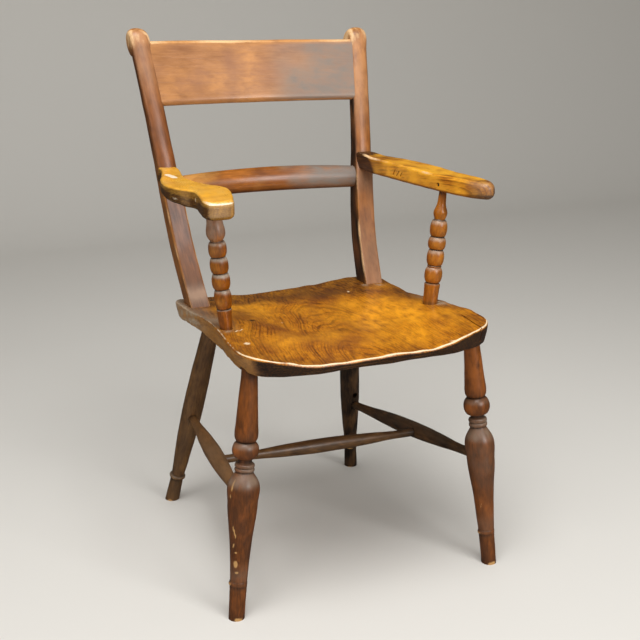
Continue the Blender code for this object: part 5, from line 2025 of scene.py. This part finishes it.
    def pin(self) -> Mesh:
        """The iron pin's domed end in the right arm."""
        x, y, z = self.pin_place
        radius, (rise, dome) = self.pin_diameter / 2, self.pin_dome
        turns = np.linspace(math.pi / 2, 0.0, 8)
        line = [(dome * (1.0 - math.sin(a)) - rise, max(radius * math.cos(a), 0.00005)) for a in turns]
        ring = np.linspace(0.0, FULL_TURN, self.pin_steps, endpoint=False)
        rows = []
        for deep, wide in [*line, (self.pin_length, radius)]:
            place = (np.full_like(ring, x + deep), y + wide * np.cos(ring), z + wide * np.sin(ring))
            rows.append(np.stack(place, axis=1))
        return mesh_of_rows("arm_pin_right_end", np.stack(rows), 0.000005)

    def paint(self, side: Side, points: Array, normals: Array) -> Paint:
        """Grain along the arm, a golden top, brown sides and end, painted shade underneath, a nose worn by
        hands, and painted highlights by the post.

        Args:
            side: Which arm.
            points: The arm's points.
            normals: Its normals there.

        Returns:
            The arm's paint.
        """
        x, y, z = points.T
        plan = self.plans[side.index]
        across = x * side.value - self.support_top[0]
        depth = z - self.top(plan, y)
        seed = 311 + 6 * side.index
        grain = np.stack([across + 0.012 + 0.06 * y, depth * 1.2 + 0.036 + 0.14 * y, y + seed], axis=1)
        uneven = ripple(points, seed, 0.045)
        up, outward, forward = normals[:, 2], normals[:, 0] * side.value, -normals[:, 1]
        front = ramp(0.25, 0.75, forward)
        edge = ramp(0.2, 0.5, up) * ramp(0.985, 0.85, up)
        # under: painted shade on the underside
        face, under = ramp(0.55, 0.15, np.abs(up)), ramp(-0.1, -0.5, up)
        if side is Side.LEFT:
            top = ramp(0.5, 0.9, up)
            warm = np.clip(0.5 + 0.4 * uneven, 0.0, 1.0) * top
            start = -0.005 - 0.006 * bell(-0.085, 0.04, y)
            outer = ramp(start, start - 0.005, depth) * ramp(0.0, 0.4, outward + forward)
            dark = np.maximum.reduce([0.70 * face, 1.05 * outer, 0.85 * under]) * (1.0 - 0.30 * front)
            # A painted highlight: the lamp's glint on the ramp by the post, in the pale bare colour
            facet = bell(0.0, 1.0, ((across - 0.0095) / 0.0060) ** 4 + ((y - 0.094) / 0.025) ** 4)
            scuff = bell(-0.082, 0.006, y) * bell(-0.013, 0.005, depth)
            scuff += 0.9 * bell(-0.030, 0.012, y) * bell(-0.017, 0.003, depth)
            scuff += 0.9 * bell(0.060, 0.010, y) * bell(-0.012, 0.003, depth)
            lines = bell(-0.0045, 0.0012, depth) + 0.8 * bell(-0.0085, 0.001, depth + 0.1 * (across - 0.02))
            worn = 0.62 * scuff * face * ramp(0.1, 0.5, outward) + 0.6 * lines * front + 1.3 * facet * top
            worn += edge * (0.40 * ramp(0.04, 0.0, y - plan.tip) + 0.28 * ramp(0.2, 0.6, outward))
            dust = 0.26 * front * face
        else:
            end = self.post_y - y
            rubbed = 0.28 + 0.52 * bell(-0.03, 0.07, y)
            warm = np.clip(rubbed + 0.4 * uneven, 0.0, 1.0) * ramp(-0.1, 0.4, up - outward)
            slanted = end + 0.9 * (depth + 0.012)
            back_end = ramp(0.050, 0.026, slanted + 0.006 * uneven)
            back_end += 0.38 * ramp(0.115, 0.045, slanted + 0.02 * uneven)
            shade = 0.45 * face * ramp(0.1, 0.6, outward)
            nose = ramp(0.042, 0.012, y - plan.tip + 0.010 * uneven)
            dark = np.maximum.reduce([1.1 * back_end, shade, 0.55 * under]) + 0.46 * nose
            # A painted highlight along the upper inner edge by the post
            chafed = ramp(0.10, 0.05, end) * ramp(0.012, 0.03, end) * ramp(0.2, -0.2, outward)
            worn = 0.55 * nose * (0.8 + 0.4 * uneven) + 0.35 * (0.5 + uneven) + 0.75 * chafed
            worn *= edge
            dust = 0.15 * nose * ramp(-0.2, 0.4, forward)
        return Paint(grain, warm, dark, worn, dust)

    def support_axis(self, side: Side) -> tuple[Triple, Triple]:
        """Foot and head of a support, on the seat and under the arm."""
        plan, (foot_x, foot_y), (x, y) = self.plans[side.index], self.support_base, self.support_top
        under = float(self.top(plan, y) - self.thick(plan, y))
        return (side.value * foot_x, foot_y, self.seat.top), (side.value * x, y, under)

    def support_profile(self, turning: SupportTurning, length: float) -> Profile:
        """A support's turning from the seat up.

        Args:
            turning: Which support.
            length: From the seat to the arm, along the support.

        Returns:
            The profile.
        """
        groove, neck = self.bead_groove / 2, turning.neck_diameter / 2
        foot, wide = (v / 2 for v in turning.foot_diameters)
        high, top = turning.foot_length, length - self.straight
        line = [(-self.tenon, foot), (self.straight, foot)]
        line += swell((self.straight + 0.0001, high * 0.6, high * 0.93), (foot, (foot + wide) / 2, wide), 14)
        line += [(high * 0.965, wide * 0.975), (high, groove)]
        for index, (long, fat) in enumerate(zip(turning.bead_lengths, turning.bead_diameters)):
            line += bead(high, high + long, groove, fat / 2, 18)[1:]
            high += long
            if index == 0 and turning.ring > 0.0:
                line += bead(high, high + turning.ring, groove, groove + self.ring_rise, 8)[1:]
                high += turning.ring
        first, second = (high + rise for rise in turning.top_rises)
        fat, less = (v / 2 for v in turning.top_diameters)
        line += swell((high, first, second, top), (self.top_groove / 2, fat, less, neck), 40)[1:]
        return line + [(length + self.tenon, neck)]

    def support_bands(self, side: Side, length: float) -> list[Band]:
        """Black grooves, grey dust on the beads' shoulders, and a bloom over the left one's top.

        Args:
            side: Which support.
            length: From the seat to the arm, along the support.

        Returns:
            The marks.
        """
        turning = self.turnings[side.index]
        seam, dusty = turning.foot_length, (1.2, 0.6)[side.index]
        bands = bands_of(Mark.DARK, (0.0, 0.004, 0.7), (length, 0.006, 0.7))
        for long in (*turning.bead_lengths, 0.0):
            bands += bands_of(Mark.DARK, (seam, 0.0014, 1.0))
            bands += bands_of(Mark.DUST, (seam - 0.0042, 0.0036, dusty), upper=True)
            # A painted highlight on each bead's belly, at its left front
            bands += bands_of(Mark.WARM, (seam + long * 0.45, 0.008, 0.4, -0.9, 0.7))
            seam += long + (turning.ring if seam == turning.foot_length else 0.0)
        if side is Side.LEFT:
            return bands + bands_of(Mark.DUST, (seam + 0.030, 0.030, 0.40))
        return bands + bands_of(Mark.WARM, (seam * 0.5, 0.2, 0.28))

    def seat_sockets(self) -> list[Array]:
        """Cutters for the support sockets in the seat."""
        cutters = []
        for side, turning in zip(Side, self.turnings):
            ends = self.support_axis(side)
            cutters.append(bore(*ends, -self.tenon - FIT_GAP, self.tenon, turning.foot_diameters[0]))
        return cutters

    def build(self, shop: Workshop) -> None:
        """Makes and sets the arms, the supports and the right arm's pin.

        Args:
            shop: Where they are set.
        """
        for side, finish in zip(Side, (ELM_RUBBED, ELM_ARM)):
            brush = partial(self.paint, side)
            shop.set_piece(self.shape(side), brush, finish, f"arm_{side.label}")
            foot, head = self.support_axis(side)
            length = span(foot, head)
            profile = self.support_profile(self.turnings[side.index], length)
            node, bands = f"arm_support_{side.label}", self.support_bands(side, length)
            seed = 321 + side.index
            Turning(node, "support_wood", BEECH_BEADS, seed, foot, head, profile, bands).dress(shop)
        shop.set_piece(self.pin(), None, IronFinish(), "arm_pin_right")


@dataclass(frozen=True)
class Fasteners:
    """The pegs, wedges, screws and left pin, which keep the frame's own solids."""

    wooden: tuple[str, ...] = ("top_bar_peg", "lower_bar_peg", "post_wedge")
    iron: tuple[str, ...] = ("arm_pin", "arm_screw")

    def dress(self, shop: Workshop, nodes: dict[str, bpy.types.Object]) -> None:
        """Gives each fastener its material.

        Args:
            shop: Where the materials are kept.
            nodes: The frame's solids by name.
        """
        for kinds, finish in ((self.wooden, PEG_END), (self.iron, IronFinish())):
            for kind in kinds:
                for side in Side:
                    node = nodes[f"{kind}_{side.label}"]
                    node.data.materials.clear()
                    node.data.materials.append(shop.material(finish))
                    LOG.info("%s: %s", node.name, finish.name)


@dataclass(frozen=True)
class Lamp:
    """One soft studio lamp that shines at a place on the chair."""

    name: str
    place: Triple
    size: float
    power: float
    target: Triple


@dataclass(frozen=True)
class Studio:
    """A pale floor that sweeps up behind the chair, soft light from above and in front, and the camera.

    The floor, the sweep and the sky mirror in the polish as a dim room, so that the woods keep their depth.
    """

    floor: str = "#d8d5cf"
    mirrored_floor: str = "#4a4742"
    floor_roughness: float = 0.9
    floor_half_width: float = 30.0
    floor_front: float = -5.0
    bend_start: float = 2.6
    bend_radius: float = 1.2
    wall_height: float = 4.0
    sky: str = "#e9e7e3"
    sky_strength: float = 0.42
    mirrored_sky_strength: float = 0.06
    lamps: tuple[Lamp, ...] = (
        Lamp("overhead", (-0.5, -0.9, 2.7), 1.5, 58.0, (0.0, 0.0, 0.4)),
        Lamp("front", (0.9, -3.0, 1.7), 1.3, 48.0, (0.0, 0.0, 0.5)),
        Lamp("left", (-2.6, -0.9, 1.6), 1.2, 7.0, (0.0, 0.0, 0.4)),
    )
    camera: Triple = (-0.7462, -1.6456, 0.9063)
    look: Triple = (0.4056, 0.8727, -0.2718)
    lens: float = 60.6
    sensor: float = 36.0

    def build(self) -> None:
        """Makes the floor, the light and the camera."""
        scene = bpy.context.scene
        scene.view_settings.view_transform = "Standard"
        self._floor()
        for lamp in self.lamps:
            light = bpy.data.lights.new(f"{lamp.name}_softbox", "AREA")
            light.shape = "SQUARE"
            light.size = lamp.size
            light.energy = lamp.power
            self._place(light, lamp.place, Vector(lamp.target) - Vector(lamp.place))
        self._sky()
        lens = bpy.data.cameras.new("camera")
        lens.lens = self.lens
        lens.sensor_width = self.sensor
        scene.camera = self._place(lens, self.camera, Vector(self.look))

    def _place(self, data: bpy.types.ID, place: Triple, way: Vector) -> bpy.types.Object:
        """Puts a lamp or a camera in the scene, looking along a way.

        Args:
            data: The lamp or the camera.
            place: Where it stands.
            way: The way it looks.

        Returns:
            Its object.
        """
        obj = bpy.data.objects.new(data.name, data)
        obj.location = place
        obj.rotation_mode = "QUATERNION"
        obj.rotation_quaternion = way.to_track_quat("-Z", "Y")
        bpy.context.scene.collection.objects.link(obj)
        return obj

    def _sky(self) -> None:
        """Even light from all round, dim where the polish mirrors it."""
        world = bpy.data.worlds.new("studio")
        world.use_nodes = True
        tree = world.node_tree
        mirrored = add_node(tree, "LightPath", {}, "Is Glossy Ray")
        feeds = {0: mirrored, 2: self.sky_strength, 3: self.mirrored_sky_strength}
        strength = add_node(tree, "Mix", feeds, data_type="FLOAT")
        feed(tree, tree.nodes["Background"], {"Color": linear(self.sky), "Strength": strength})
        bpy.context.scene.world = world

    def _floor(self) -> None:
        """A sweep: flat under the chair, and curved up to a wall well behind it."""
        half, bend, radius = self.floor_half_width, self.bend_start, self.bend_radius
        turns = np.linspace(0.0, math.pi / 2, 25)[1:]
        line = [(self.floor_front, 0.0), (bend, 0.0)]
        line += [(bend + radius * math.sin(a), radius * (1 - math.cos(a))) for a in turns]
        line.append((bend + radius, self.wall_height))
        work = bmesh.new()
        pairs = [(work.verts.new((-half, y, z)), work.verts.new((half, y, z))) for y, z in line]
        for (a, b), (c, d) in zip(pairs, pairs[1:]):
            work.faces.new((a, b, d, c))
        mesh = bpy.data.meshes.new("studio_floor")
        work.to_mesh(mesh)
        work.free()
        mesh.shade_smooth()
        made, tree, shader = new_material("paper_sweep")
        mirrored = add_node(tree, "LightPath", {}, "Is Glossy Ray")
        shades = {0: mirrored, 6: linear(self.floor), 7: linear(self.mirrored_floor)}
        colour = add_node(tree, "Mix", shades, 2, data_type="RGBA")
        feed(tree, shader, {"Base Color": colour, "Roughness": self.floor_roughness})
        mesh.materials.append(made)
        floor = bpy.data.objects.new("studio_floor", mesh)
        bpy.context.scene.collection.objects.link(floor)


def main() -> None:
    """Builds the chair's pieces in order, then the studio."""
    logging.basicConfig(level=logging.INFO, format="%(name)s: %(message)s")
    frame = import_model()
    seat = SeatBoard()
    shop = Workshop(Vector((0.0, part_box("seat")[0].y - seat.front, 0.0)))
    base = Base(seat)
    back = Back(seat)
    arms = Arms(seat, back)
    cutters = base.seat_sockets() + back.seat_mortises() + arms.seat_sockets() + seat.faults()
    shop.set_piece(combined(seat.shape(), cutters), seat.paint, ELM_SEAT, "seat")
    base.build(shop)
    back.build(shop)
    arms.build(shop)
    Fasteners().dress(shop, frame["nodes"])
    Studio().build()


if __name__ == "__main__":
    main()
